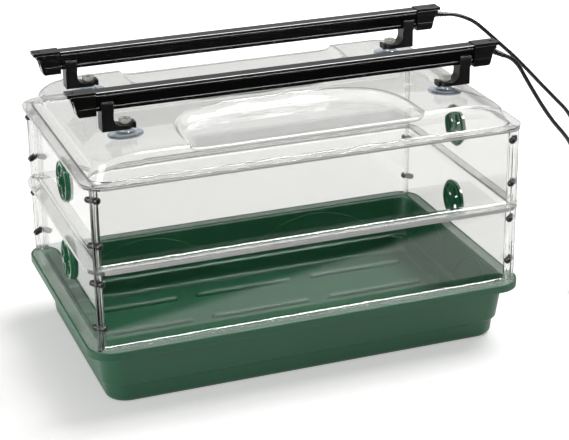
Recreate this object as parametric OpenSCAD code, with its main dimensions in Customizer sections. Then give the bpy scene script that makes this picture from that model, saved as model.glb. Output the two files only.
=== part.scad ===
// Seed propagator with grow light.
// A green tray carries two stacked tiers of clear walls and a clear lid with two hand scoops.
// Each tier is four panels, mitred at the corners and held by push rivets, with a turning vent
// in each end panel. Two lamps stand on the lid on brackets with suction cups and thumb nuts.
// Millimetres, +Z up, +X along the long side to the right, the front faces -Y.
// The origin is on the resting surface, under the centre of the tray.

/* [Tray] */
// Width of the tray over its lip
tray_w = 606; // [580:1:640]
// Depth of the tray over its lip
tray_d = 374; // [350:1:400]
// Height of the tray to the top of its lip
tray_h = 88; // [78:1:100]
// Corner radius of the lip, seen from above
tray_r = 33; // [30:1:38]
// Wall of the tray
tray_wall = 2.4; // [1.8:0.2:3]
// Depth of the seat inside the lip that takes the clear walls
seat_drop = 3; // [2:0.2:4]
// Height of the skirt outside the lip
skirt_h = 11; // [8:0.5:14]
// Set-back of the body below the lip
body_inset = 15.5; // [13:0.5:18]
// Set-back of the body at the top of its step
step_inset = 21.4; // [20:0.2:23]
// Width of the step round the body
step_w = 3.8; // [2:0.2:5]
// Height of the step above the resting surface
step_z = 25; // [18:1:34]
// Radius that rounds the body into the base
base_round = 9; // [6:0.5:12]
// Corner radius of the body, seen from above
body_r = 27; // [24:1:32]
// Height of the ribs on the tray floor
rib_h = 6; // [3:0.5:7]
// Radius of a rib's rounded back
rib_r = 7; // [7:0.5:9]
// Length of a rib
rib_len = 150; // [110:1:160]
// Distance between ribs along the tray
rib_pitch_x = 176; // [170:1:184]
// Distance between ribs across the tray
rib_pitch_y = 76; // [60:1:80]

/* [Clear walls] */
// Gap between the clear walls' rim and the tray's lip
rim_gap = 0.6; // [0.4:0.1:1]
// Height of one tier of walls
tier_h = 112; // [100:1:130]
// Thickness of a clear wall
wall_t = 2; // [1.6:0.2:2.6]
// Thickness of the flanges at the top and bottom of a wall
flange_t = 2.6; // [2:0.2:3.4]
// Width of a flange, from its edge to the wall
flange_w = 17.5; // [16:0.5:20]
// Radius of the bend between wall and flange
bend_r = 4.5; // [3:0.5:6]
// Gap between two panels at a corner
seam_gap = 0.2; // [0.1:0.1:0.4]
// Set-back of a corner strip's free edge from the rim
strip_inset = 1; // [0.5:0.5:2]

/* [Push rivets] */
// Radius of a rivet's shank
rivet_r = 3; // [2:0.25:3.5]
// Radius of a rivet's head
rivet_head_r = 5.7; // [5:0.1:6]
// Thickness of a rivet's head
rivet_head_t = 2.4; // [1.6:0.2:3]
// Length of a rivet's spread barrel
rivet_barrel_l = 7.5; // [5:0.5:9]
// Gap between a shank and its hole
rivet_gap = 0.2; // [0.1:0.05:0.3]
// Height of the low rivets above the bottom of a tier
rivet_low = 33; // [25:1:45]
// Depth of the high rivets below the top of a tier
rivet_high = 18; // [15:1:25]

/* [Vents] */
// Radius of a vent's outer ring
vent_r = 29; // [27:0.5:33]
// Radius of the hole in the end panel
vent_hole_r = 26; // [24:0.5:27]
// Height of a vent's centre above the bottom of its tier
vent_z = 58; // [50:1:62]
// Thickness of a vent's fixed grille
vent_t = 2; // [1.6:0.2:3]
// Thickness of a vent's turning shutter
shutter_t = 1.8; // [1.4:0.2:2.6]
// Gap between shutter and grille
shutter_gap = 0.3; // [0.2:0.1:0.6]
// Openings round a vent
vent_gaps = 3; // [3:1:6]
// Inner radius of the openings
vent_gap_r = 8; // [8:0.5:10]
// Radius of the pin in the middle of a vent
vent_pin_r = 2.45; // [2:0.05:3]
// Running clearance round the pin
pin_gap = 0.05; // [0.02:0.01:0.08]

/* [Lid] */
// Height of the lid from the underside of its rim
lid_h = 34.5; // [30:0.5:40]
// Set-back of the lid's sides at the rim
lid_inset = 13; // [11:0.5:15]
// Set-back of the lid's sides at the top
lid_top_inset = 19; // [17:0.5:24]
// Radius that rounds the lid's top edge
lid_round = 8; // [5:0.5:10]
// Corner radius of the lid's sides, seen from above
lid_r = 24; // [20:1:30]
// Thickness of the lid
lid_t = 2; // [1.6:0.2:2.6]
// Half the width of a hand scoop
scoop_a = 160; // [130:1:170]
// Length of a hand scoop from the lid's top edge towards its middle
scoop_b = 144; // [120:1:146]
// Depth of a hand scoop at its back
scoop_depth = 16; // [10:0.5:20]
// Depth of a hand scoop at the lid's edge
scoop_edge = 5.5; // [4:0.5:8]
// Height of the finger waves in the back of a scoop
scoop_wave = 1.6; // [0:0.2:2.4]

/* [Lamps] */
// Length of a lamp over its end caps
lamp_len = 590; // [560:1:596]
// Distance of a lamp from the middle of the lid
lamp_y = 92; // [80:1:100]
// Gap between the lid and a lamp's underside
lamp_gap = 35.5; // [32:0.5:40]
// Height of a lamp's housing
lamp_h = 25; // [24:0.5:30]
// Width of a lamp over its top plate
lamp_w = 18; // [17:0.5:22]
// Width of a lamp's body
lamp_body_w = 15; // [14.5:0.5:16]
// Wall of a lamp's hollow housing
lamp_wall = 1.8; // [1.4:0.1:2.2]
// Thickness of the fins and rails along a lamp
fin_t = 2.2; // [1.8:0.1:2.6]
// Length of an end cap
cap_len = 36; // [34:0.5:38]
// Overhang of an end cap round the housing
cap_grow = 1; // [0.6:0.1:1.6]
// Depth of an end cap below the housing
cap_drop = 5; // [3:0.5:6]
// Depth of the undercut at the end of a cap
cap_undercut = 12; // [8:0.5:14]
// Width of the light channel under a lamp
channel_w = 9.6; // [8:0.2:10]
// Depth of the light channel
channel_h = 6; // [5:0.5:7]
// Thickness of the diffuser and of the board above it
board_t = 1.6; // [1.2:0.2:2]
// Lights along a board
led_count = 24; // [12:1:40]
// Sliding gap round the board and the diffuser
slide_gap = 0.2; // [0.1:0.05:0.3]

/* [Brackets] */
// Width of a bracket's leg along the lamp
bracket_w = 15.5; // [14:0.5:22]
// Gap between a bracket and the end cap beside it
bracket_gap = 6; // [3:0.5:20]
// Distance of a suction cup from its bracket's outer face
foot_reach = 32; // [30:0.5:50]
// Thickness of a bracket's foot
foot_t = 5.5; // [4:0.5:7]
// Width of a bracket's foot
foot_w = 19; // [17:0.5:22]
// Height of a foot's underside above the lid
foot_z = 8; // [7:0.5:10]
// Thickness of the clip that holds the lamp
clip_t = 2.6; // [2:0.2:3.4]
// Gap between clip and lamp
clip_gap = 0.3; // [0.2:0.1:0.5]
// Height of a clip's arms above the lamp's underside
clip_h = 12.5; // [11:0.5:13]

/* [Suction cups and nuts] */
// Radius of a suction cup
cup_r = 23; // [20:0.5:28]
// Radius of the neck of a suction cup
cup_neck_r = 9; // [8:0.5:10]
// Radius of the stud on a suction cup
stud_r = 3; // [2.5:0.25:3.5]
// Running clearance round a stud
stud_gap = 0.08; // [0.04:0.01:0.1]
// Radius of a thumb nut
nut_r = 8; // [7:0.5:8]
// Height of a thumb nut
nut_h = 7; // [6:0.5:9]
// Grooves round a thumb nut
nut_grooves = 16; // [10:1:20]

/* [Leads] */
// Diameter of a lead
lead_d = 5.6; // [5:0.1:6]
// Length of the tapered sleeve where a lead leaves its lamp
sleeve_l = 20; // [20:1:26]
// Downward tilt of the front lamp's sleeve
front_tilt = 26; // [18:1:28]
// Downward tilt of the rear lamp's sleeve
rear_tilt = 8; // [2:1:12]
// Distance between turns in a coil
coil_pitch = 6.2; // [6.1:0.1:6.6]
// Radius of a coil's first turn
coil_r = 38; // [36:0.5:40]
// Turns wound inwards in a coil
turns_in = 2; // [1:1:3]
// Turns wound outwards in a coil
turns_out = 2.5; // [2.5:1:3.5]
// Width of a plug's body
plug_w = 34; // [30:1:36]
// Thickness of a plug's body
plug_t = 15; // [14:0.5:17]

/* [Hidden] */

$fn = 48;
root2 = sqrt(2);
// Overlap that lets two shapes of one piece fuse
fuse = 0.5;
// Margin by which a cutter passes the face that it cuts
past = 1;
// Steps round a moulded corner and round a bend
corner_steps = 7;
bend_steps = 4;

// Colours
tray_green = "#1d5a3c";
vent_green = "#1c5b3a";
clear_wall = [0.86, 0.88, 0.88, 0.35];
clear_cup = [0.75, 0.82, 0.88, 0.6];
nut_clear = [0.85, 0.84, 0.76, 0.8];
lamp_black = "#17181a";
part_black = "#1b1b1b";
light_white = "#eef0f0";

// Heights of the stack
seat_z = tray_h - seat_drop;
lower_z = seat_z;
upper_z = lower_z + tier_h;
lid_z = upper_z + tier_h;
lid_top = lid_z + lid_h;
lamp_z = lid_top + lamp_gap;

// Outline of the clear rim, which drops inside the tray's lip
rim_w = tray_w - 2 * (tray_wall + rim_gap);
rim_d = tray_d - 2 * (tray_wall + rim_gap);
rim_r = tray_r - tray_wall - rim_gap;

// Corner strips: distances from the rim's sharp corner along the mitre
strip_free = rim_r * (root2 - 1) + strip_inset;
strip_wall = flange_w * root2;
strip_mid = (strip_free + strip_wall + wall_t) / 2;
// Half the thickness of two strips clamped together
grip = wall_t + seam_gap / 2;

// Vent levels, measured outwards from the panel's outer face
shutter_z = vent_t + shutter_gap;
boss_r = 6.5;
boss_h = 5;
vent_neck_gap = 0.3;
vent_neck_t = 2.4;
vent_bead_t = 1.4;
vent_bead_w = 0.8;
vent_rim = 5;
vent_land = 4.5;
fin_h = 3.4;
fin_w = 1.8;
fin_step = 6;
// Angle at which a grille is set, and how far each shutter stands from fully open
vent_set = 60;
shut_turn = 180 / vent_gaps;
half_turn = shut_turn / 2;
ajar_turn = shut_turn / 4;

// Plan of a hand scoop: a squared arch, open at the lid's edge
scoop_power = 3.6;
scoop_steps = 14;
scoop_waves = 4;
scoop_open = 14;
scoop_side_draft = 0.5;
scoop_front = rim_d / 2 - lid_top_inset - fuse;

// Levels along a lamp, measured up from its underside
rail_z = 3;
fin_z = lamp_h - 4.4;
top_z = lamp_h - fin_t;
lamp_end = lamp_len / 2;
housing_end = lamp_end - cap_len;
bracket_x = housing_end - bracket_gap;
cup_x = bracket_x - foot_reach;
rail_grow = 1.3;
fin_grow = 1.8;
neck_grow = 0.8;
skirt_in = 0.6;
board_z = channel_h - board_t;
groove_d = 0.8;

// Leads: each leaves a collar on its cap along a tilted axis
lead_z = 15;
collar_r = 5;
collar_l = 8.5;
// Height of a coil's lower layer
coil_z = 4;
coil_lead_in = 6;
coil_rings = 24;
coil_sides = 6;
coil_ease = 0.25;
lead_sides = 8;
spline_steps = 2;
coil_drop = coil_r - coil_pitch * turns_in;
coil_total = turns_in + 0.5 + turns_out;
coil_end_r = coil_drop + coil_pitch * turns_out;
down_y = [0, -1, 0];

// Points of the routes after the sleeves, for a lamp whose end is at 295, 92 and 379
front_points = [
    [324, -92, 372], [333, -92, 361], [343, -92, 344.5], [357, -92, 322], [372, -92, 299],
    [388, -92, 277], [414, -92, 245], [434, -84, 208], [450, -72, 165], [459, -60, 120],
    [460, -52, 78], [455, -52, 43], [447, -64, 17], [441, -84, 6], [438, -104, coil_z],
    [438, -114, coil_z], [438, -119, coil_z], [438, -124, coil_z]
];
rear_points = [
    [330, 91, 386], [342, 90, 381], [354, 89, 374], [366, 88, 364], [380, 86, 351],
    [396, 84, 336], [414, 81, 319], [436, 77, 296], [458, 73, 272], [480, 67, 248], [499, 62, 226],
    [515, 62, 195], [530, 66, 150], [540, 70, 105], [542, 70, 64], [537, 62, 32], [529, 46, 11],
    [525, 32, 5], [523, 20, coil_z], [522, 10, coil_z], [522, 4, coil_z]
];
function sleeve_dir(tilt) = [cos(tilt), 0, -sin(tilt)];
function lead_foot(side) = [lamp_end - cap_undercut, side * lamp_y, lamp_z + lead_z];
function lead_tip(side, tilt) = lead_foot(side) + (collar_l + sleeve_l) * sleeve_dir(tilt);
// The points move with the lamp's end near it, and stay where they are on the floor
function lead_route(side, tilt, points) =
    let(tip = lead_tip(side, tilt),
        shift = [lamp_end - 295, side * (lamp_y - 92), lamp_z - 379],
        n = len(points) - 1)
    concat(
        [tip, tip + 1.5 * lead_d * sleeve_dir(tilt)],
        [for (i = [0:n]) points[i] + max(0, 1 - i / (n - 4)) * shift]
    );
front_route = lead_route(-1, front_tilt, front_points);
rear_route = lead_route(1, rear_tilt, rear_points);
route_front_end = front_points[len(front_points) - 1];
route_rear_end = rear_points[len(rear_points) - 1];
tie_w = 8;
tie_t = 0.8;
tie_gap = 0.4;
tie_head = 3;
plug_nose_l = 22;
plug_nose_r = 5;
plug_body_l = 36;
plug_pin_r = 2;
plug_pin_l = 19;
plug_pin_gap = 18.6;

// Shared shapes

// Points of an arc in a plane
function arc(x, y, r, a0, a1, n) =
    [for (i = [0:n]) let(a = a0 + (a1 - a0) * i / n) [x + r * cos(a), y + r * sin(a)]];

// One ring of a rounded rectangle, anticlockwise from above
function ring(w, d, r, z) = [
    for (c = [0:3]) for (i = [0:corner_steps])
        let(a = 90 * c + 90 * i / corner_steps,
            sx = (c == 0 || c == 3) ? 1 : -1,
            sy = c < 2 ? 1 : -1)
        [sx * (w / 2 - r) + r * cos(a), sy * (d / 2 - r) + r * sin(a), z]
];

// Skin over a stack of rings, closed by a fan at each end
module loft(rings) {
    m = len(rings[0]);
    last = (len(rings) - 1) * m;
    points = [for (r = rings) each r];
    sides = [
        for (j = [0:len(rings) - 2]) for (i = [0:m - 1])
            let(a = j * m + i, b = j * m + (i + 1) % m)
            each [[a, a + m, b + m], [a, b + m, b]]
    ];
    bottom = [for (i = [1:m - 2]) [0, i, i + 1]];
    top = [for (i = [1:m - 2]) [last, last + i + 1, last + i]];
    polyhedron(points, concat(sides, bottom, top));
}

// Rounded rectangle as a flat shape with true arcs
module rounded(w, d, r) {
    square([w - 2 * r, d], center = true);
    square([w, d - 2 * r], center = true);
    for (sx = [-1, 1], sy = [-1, 1])
        translate([sx * (w / 2 - r), sy * (d / 2 - r)])
            circle(r);
}

// Slice of a flat ring, from angle 0
module ring_slice(r0, r1, turn, h) {
    rotate_extrude(angle = turn)
        translate([r0, 0])
            square([r1 - r0, h]);
}

// Direction along a path at each point; the ends take the directions given
function unit(v) = v / norm(v);
function tangents(p, first, last) = [
    for (i = [0:len(p) - 1])
        i == 0 ? first : i == len(p) - 1 ? last : unit(p[i + 1] - p[i - 1])
];

// Normals along a path, each turned as little as possible from the one before
function next_normal(n, t) = unit(n - (n * t) * t);
function path_normals(t, n, i = 0, made = []) =
    i == len(t) ? made :
    let(now = next_normal(n, t[i]))
    path_normals(t, now, i + 1, concat(made, [now]));

// Round tube along a path, with flat ends square to the directions first and last
module tube(p, r, sides, first, last, first_normal) {
    t = tangents(p, first, last);
    normals = path_normals(t, first_normal);
    rings = [
        for (i = [0:len(p) - 1])
            let(n = normals[i], b = cross(t[i], n))
            [for (k = [0:sides - 1]) let(a = 360 * k / sides) p[i] + r * (cos(a) * n + sin(a) * b)]
    ];
    loft(rings);
}

// Smooth curve through the points of a route
function spline_at(p, i, u) =
    let(a = p[max(i - 1, 0)], b = p[i], c = p[i + 1], d = p[min(i + 2, len(p) - 1)])
    0.5 * (2 * b + (c - a) * u + (2 * a - 5 * b + 4 * c - d) * u * u
        + (3 * b - a - 3 * c + d) * u * u * u);
function spline(p, n) = concat(
    [for (i = [0:len(p) - 2]) for (k = [0:n - 1]) spline_at(p, i, k / n)],
    [p[len(p) - 1]]
);

// Tray

function tray_ring(inset, z, r) = ring(tray_w - 2 * inset, tray_d - 2 * inset, r, z);

// Profile of the tray's outside up to its ledge, at a set-back of in
function base_rings(in, z0) = [
    for (i = [0:bend_steps])
        let(a = 90 * i / bend_steps,
            inset = step_inset + step_w + 1.5 + in + base_round * (1 - sin(a)),
            z = z0 + base_round * (1 - cos(a)))
        tray_ring(inset, z, body_r - in)
];
function body_rings(in) = [
    tray_ring(step_inset + step_w + in, step_z, body_r - in),
    tray_ring(step_inset + in, step_z + step_w * 0.8, body_r - in)
];

module tray_shell() {
    ledge_z = seat_z - tray_wall;
    skirt_z = tray_h - skirt_h;
    loft(concat(
        base_rings(0, 0),
        body_rings(0),
        [
            tray_ring(body_inset, ledge_z, body_r),
            tray_ring(tray_wall, ledge_z, tray_r - tray_wall),
            tray_ring(tray_wall, skirt_z, tray_r - tray_wall),
            tray_ring(0, skirt_z, tray_r),
            tray_ring(0, tray_h - tray_wall / 3, tray_r),
            tray_ring(tray_wall / 3, tray_h, tray_r - tray_wall / 3),
            tray_ring(tray_wall, tray_h, tray_r - tray_wall),
            tray_ring(tray_wall, seat_z, tray_r - tray_wall),
            tray_ring(body_inset + tray_wall - 1, seat_z, body_r - tray_wall + 1),
            tray_ring(body_inset + tray_wall, seat_z - 1, body_r - tray_wall)
        ],
        [for (i = [1:-1:0]) body_rings(tray_wall)[i]],
        [for (i = [bend_steps:-1:0]) base_rings(tray_wall, tray_wall)[i]]
    ));
}

// Rib with a round back and round ends, standing out of the tray floor
module rib() {
    run = rib_len - 2 * rib_r;
    translate([0, 0, tray_wall + rib_h - rib_r])
        difference() {
            union() {
                rotate([0, 90, 0])
                    cylinder(r = rib_r, h = run, center = true);
                for (s = [-1, 1])
                    translate([s * run / 2, 0, 0])
                        sphere(rib_r);
            }
            translate([0, 0, -rib_h - fuse - rib_r])
                cube([2 * rib_len, 4 * rib_r, 4 * rib_r], center = true);
        }
}

module tray() {
    color(tray_green)
        union() {
            tray_shell();
            for (i = [-1:1], j = [-1.5:1.5])
                translate([i * rib_pitch_x, j * rib_pitch_y, 0])
                    rib();
        }
}

// Clear walls

// Section of a panel: a wall bent out into a flange at the bottom and the top
function panel_section(off) =
    let(face = off - flange_w,
        inner = bend_r + wall_t,
        foot = flange_t,
        head = tier_h - flange_t)
    concat(
        [[-off, 0], [-off, foot]],
        arc(-face - bend_r, foot + bend_r, bend_r, -90, 0, bend_steps),
        arc(-face - bend_r, head - bend_r, bend_r, 0, 90, bend_steps),
        [[-off, head], [-off, tier_h]],
        arc(-face - bend_r, tier_h - inner, inner, 90, 0, bend_steps),
        arc(-face - bend_r, inner, inner, 0, -90, bend_steps)
    );

// Plan of a panel: cut at 45 degrees at both ends
module mitre_plan(length, off, depth) {
    half = length / 2 - seam_gap / root2;
    polygon([[-half, -off], [half, -off], [half - depth, -off + depth], [depth - half, -off + depth]]);
}

// Frame of the mitre at the right end of a panel: X runs inwards from the rim's sharp corner,
// Y points from the seam back into the panel
module at_mitre(length, off) {
    translate([length / 2, -off, 0])
        rotate([0, 0, 135])
            children();
}

module panel(length, off) {
    reach = flange_w + wall_t + bend_r;
    difference() {
        union() {
            intersection() {
                rotate([90, 0, 90])
                    linear_extrude(height = length, center = true)
                        polygon(panel_section(off));
                linear_extrude(height = tier_h)
                    mitre_plan(length, off, reach);
                linear_extrude(height = tier_h)
                    rounded(length, 2 * off, rim_r);
            }
            for (s = [0, 1])
                mirror([s, 0, 0])
                    at_mitre(length, off)
                        translate([strip_free, seam_gap / 2, flange_t / 2])
                            cube([strip_wall - strip_free + wall_t, wall_t, tier_h - flange_t]);
        }
        for (s = [0, 1], z = [rivet_low, tier_h - rivet_high])
            mirror([s, 0, 0])
                at_mitre(length, off)
                    translate([strip_mid, 0, z])
                        rotate([90, 0, 0])
                            cylinder(r = rivet_r + rivet_gap, h = 4 * grip, center = true);
    }
}

// Front or rear panel, by the sign of side
module long_panel(side, z) {
    color(clear_wall)
        translate([0, 0, z])
            rotate([0, 0, side > 0 ? 180 : 0])
                panel(rim_w, rim_d / 2);
}

// Left or right panel, by the sign of side, with its vent hole
module end_panel(side, z) {
    color(clear_wall)
        translate([0, 0, z])
            difference() {
                rotate([0, 0, 90 * side])
                    panel(rim_d, rim_w / 2);
                translate([side * (rim_w / 2 - flange_w), 0, vent_z])
                    rotate([0, 90, 0])
                        cylinder(r = vent_hole_r, h = 6 * wall_t, center = true);
            }
}

// Push rivet along Z: domed head above the strips, spread and slit barrel below
module rivet() {
    barrel_r = rivet_r + 1.3;
    tip_r = rivet_r - 0.4;
    difference() {
        rotate_extrude()
            polygon(concat(
                [[0, -grip - rivet_barrel_l], [tip_r, -grip - rivet_barrel_l]],
                [[barrel_r, -grip - rivet_barrel_l * 0.55], [barrel_r, -grip], [rivet_r, -grip]],
                [[rivet_r, grip], [rivet_head_r, grip], [rivet_head_r, grip + rivet_head_t * 0.5]],
                [[rivet_head_r * 0.8, grip + rivet_head_t], [0, grip + rivet_head_t]]
            ));
        for (a = [0, 90])
            rotate([0, 0, a])
                translate([0, 0, -grip - rivet_barrel_l])
                    cube([3 * barrel_r, 1, rivet_barrel_l * 1.1], center = true);
    }
}

module tier_rivets(z) {
    color(part_black)
        for (sx = [0, 1], sy = [0, 1], h = [rivet_low, tier_h - rivet_high])
            mirror([sx, 0, 0])
                mirror([0, sy, 0])
                    at_mitre(rim_w, rim_d / 2)
                        translate([strip_mid, 0, z + h])
                            rotate([-90, 0, 0])
                                rivet();
}

// Vents, drawn with the outside of the panel along Z

module vent_sectors(h) {
    turn = 180 / vent_gaps;
    for (i = [0:vent_gaps - 1])
        rotate([0, 0, 360 * i / vent_gaps])
            ring_slice(vent_gap_r, vent_hole_r - vent_rim, turn, h);
}

module vent_grille() {
    neck_r = vent_hole_r - vent_neck_gap;
    back = -wall_t - vent_bead_t;
    difference() {
        union() {
            cylinder(r = vent_r, h = vent_t);
            translate([0, 0, back])
                difference() {
                    union() {
                        cylinder(r = neck_r, h = -back + fuse);
                        cylinder(r = vent_hole_r + vent_bead_w, h = vent_bead_t - slide_gap);
                    }
                    translate([0, 0, -past])
                        cylinder(r = neck_r - vent_neck_t, h = past - back);
                }
        }
        translate([0, 0, -past])
            vent_sectors(vent_t + 2 * past);
        translate([0, 0, -past])
            cylinder(r = vent_pin_r + pin_gap, h = vent_t + 2 * past);
    }
}

// Turning disc, with a raised rim, a fin beside each opening and a boss on the pin
module vent_shutter() {
    disc_r = vent_hole_r + 1;
    turn = 180 / vent_gaps;
    translate([0, 0, shutter_z])
        difference() {
            union() {
                cylinder(r = disc_r, h = shutter_t);
                cylinder(r = boss_r, h = boss_h);
                ring_slice(disc_r - fin_w, disc_r, 360, shutter_t + 1);
                for (i = [0:vent_gaps - 1])
                    rotate([0, 0, 360 * i / vent_gaps - turn / 2])
                        translate([boss_r - fuse, -fin_w / 2, 0])
                            cube([disc_r - boss_r - fin_w + 2 * fuse, fin_w, fin_h]);
                for (r = [boss_r + fin_step, boss_r + 2 * fin_step])
                    ring_slice(r, r + fin_w / 2, 360, shutter_t + 0.6);
            }
            translate([0, 0, -past])
                vent_sectors(shutter_t + 2 * past);
            translate([0, 0, -past])
                cylinder(r = vent_pin_r + pin_gap, h = boss_h + 2 * past);
        }
}

// Pin with a flat head over the boss and a spread tail behind the grille
module vent_pin() {
    head_z = shutter_z + boss_h + slide_gap;
    tail_t = 1.2;
    cylinder(r = vent_pin_r, h = head_z + fuse);
    translate([0, 0, head_z])
        cylinder(r = vent_land, h = 1.4);
    translate([0, 0, -tail_t])
        cylinder(r = vent_land, h = tail_t);
}

// Places a vent piece on an end panel and turns it about its own axis
module at_vent(side, z, turn = 0) {
    translate([side * (rim_w / 2 - flange_w), 0, z + vent_z])
        rotate([0, 90 * side, 0])
            rotate([0, 0, vent_set + turn])
                color(vent_green)
                    children();
}

// Lid

function lid_ring(inset, z, r) = ring(rim_w - 2 * inset, rim_d - 2 * inset, r, z);

// Sides and rounded top edge, drawn in by the thickness in
function lid_rings(in, z0) = concat(
    [lid_ring(lid_inset + in, z0, lid_r - in)],
    [
        for (i = [0:bend_steps])
            let(a = 90 * i / bend_steps,
                r = lid_round - in)
            lid_ring(lid_top_inset + in + r * (1 - cos(a)), lid_top - in - r * (1 - sin(a)), lid_r - in)
    ]
);

module lid_outside() {
    loft(concat(
        [lid_ring(0, lid_z, rim_r), lid_ring(0, lid_z + flange_t, rim_r)],
        lid_rings(0, lid_z + flange_t)
    ));
}

// Half of a scoop's outline: the offset from the middle and the distance from the lid's edge
function scoop_half(grow, k) = [
    for (i = [0:scoop_steps])
        let(t = 90 * i / scoop_steps,
            x = (scoop_a + grow) * pow(cos(t), 2 / scoop_power),
            y = (scoop_b + grow) * pow(sin(t), 2 / scoop_power),
            wave = scoop_wave * (cos(360 * scoop_waves * x / scoop_a / 2) - 1) * k * pow(sin(t), 4))
        [x, y + wave]
];

// One level of a scoop: right side from the edge to the back, then the left side, back to the edge.
// The depth grows from the edge to the back.
function scoop_ring(grow, depth, share) =
    let(half = scoop_half(grow, share),
        edge = -scoop_open,
        slope = (scoop_depth - scoop_edge) / scoop_b,
        right = concat([[half[0][0], edge]], half),
        n = len(right) - 1)
    [
        for (i = [0:n]) [right[i][0], right[i][1], depth - share * slope * (scoop_b - right[i][1])],
        for (i = [n:-1:0]) [-right[i][0], right[i][1], depth - share * slope * (scoop_b - right[i][1])]
    ];

// Skin over the levels of a scoop; the floor and the mouth are closed row by row
module scoop_skin(rings) {
    m = len(rings[0]);
    last = (len(rings) - 1) * m;
    points = [for (r = rings) each r];
    sides = [
        for (j = [0:len(rings) - 2]) for (i = [0:m - 1])
            let(a = j * m + i, b = j * m + (i + 1) % m)
            each [[a, b + m, a + m], [a, b, b + m]]
    ];
    mouth = [
        for (i = [0:m / 2 - 2])
            let(a = i, b = i + 1, c = m - 2 - i, d = m - 1 - i)
            each [[a, c, b], [a, d, c]]
    ];
    floor_faces = [
        for (i = [0:m / 2 - 2])
            let(a = last + i, b = last + i + 1, c = last + m - 2 - i, d = last + m - 1 - i)
            each [[a, b, c], [a, c, d]]
    ];
    polyhedron(points, concat(sides, mouth, floor_faces));
}

// Solid that presses a scoop into the front of the lid, grown by the thickness grow
module scoop(grow) {
    d = scoop_depth + grow;
    levels = [
        for (s = [[3, -lid_round, 0], [0, 0.02, 0.02], [-2.5, 0.35, 0.35], [-6, 0.7, 0.7],
                  [-12, 0.92, 0.92], [-22, 1, 1]])
            let(depth = s[1] < 0 ? s[1] : s[1] * d)
            [for (p = scoop_ring(grow + s[0], depth, s[2])) [p[0], p[1] - scoop_front, lid_top - p[2]]]
    ];
    scoop_skin(levels);
}

module both_scoops(grow) {
    for (s = [0, 1])
        mirror([0, s, 0])
            scoop(grow);
}

module lid() {
    color(clear_wall)
        difference() {
            lid_outside();
            both_scoops(0);
            difference() {
                loft(lid_rings(lid_t, lid_z - past));
                both_scoops(lid_t);
            }
        }
}

// Frame of a lead where it leaves its cap, with Z along the sleeve
module at_lead(side, tilt) {
    translate(lead_foot(side))
        rotate([0, 90 + tilt, 0])
            children();
}

// Lamps, drawn along X with the underside at Z 0

module at_lamp(side) {
    translate([0, side * lamp_y, lamp_z])
        children();
}

// Half of the housing's section, from the underside to the top
function lamp_half(grow) =
    let(body = lamp_body_w / 2 + grow, top = lamp_w / 2 + grow)
    [
        [body - skirt_in, 0], [body - skirt_in, rail_z],
        [body + rail_grow, rail_z], [body + rail_grow, rail_z + fin_t],
        [body, rail_z + fin_t], [body, fin_z - fin_t],
        [body + fin_grow, fin_z - fin_t], [body + fin_grow, fin_z],
        [body + neck_grow, fin_z], [body + neck_grow, top_z],
        [top, top_z], [top, lamp_h - 0.8], [top - 0.8, lamp_h]
    ];
function mirrored(half) =
    concat(half, [for (i = [len(half) - 1:-1:0]) [-half[i][0], half[i][1]]]);

module lamp_extrusion(length) {
    rotate([90, 0, 90])
        linear_extrude(height = length, center = true)
            children();
}

module lamp_housing(side) {
    color(lamp_black)
        at_lamp(side)
            lamp_extrusion(2 * housing_end)
                difference() {
                    polygon(mirrored(lamp_half(0)));
                    translate([-channel_w / 2, -past])
                        square([channel_w, channel_h + past]);
                    translate([-channel_w / 2 - groove_d, board_t])
                        square([channel_w + 2 * groove_d, board_t]);
                    translate([-lamp_body_w / 2 + lamp_wall, channel_h + lamp_wall])
                        square([lamp_body_w - 2 * lamp_wall, top_z - channel_h - 2 * lamp_wall]);
                }
}

// Strip of lights, carried at the top of the light channel
module lamp_board(side) {
    led = [5, 4, 1];
    span = 2 * housing_end - 4 * cap_drop;
    width = channel_w - 2 * slide_gap;
    color(light_white)
        at_lamp(side) {
            translate([-span / 2, -width / 2, board_z])
                cube([span, width, board_t]);
            for (i = [0:led_count - 1])
                translate([span * ((i + 0.5) / led_count - 0.5), 0, board_z - led[2] / 2 + fuse / 2])
                    cube([led[0], led[1], led[2] + fuse], center = true);
        }
}

// Bowed cover whose edges slide in the grooves of the light channel
module lamp_diffuser(side) {
    half = channel_w / 2 - slide_gap;
    bow = 1.2;
    edge_low = board_t + slide_gap;
    edge_high = 2 * board_t - slide_gap;
    color(light_white)
        at_lamp(side)
            lamp_extrusion(2 * housing_end - 2 * slide_gap)
                polygon(concat(
                    [for (i = [-6:6]) [half * i / 6, bow * pow(i / 6, 2)]],
                    [[half, edge_low], [half + groove_d, edge_low], [half + groove_d, edge_high]],
                    [[-half - groove_d, edge_high], [-half - groove_d, edge_low], [-half, edge_low]]
                ));
}

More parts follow.
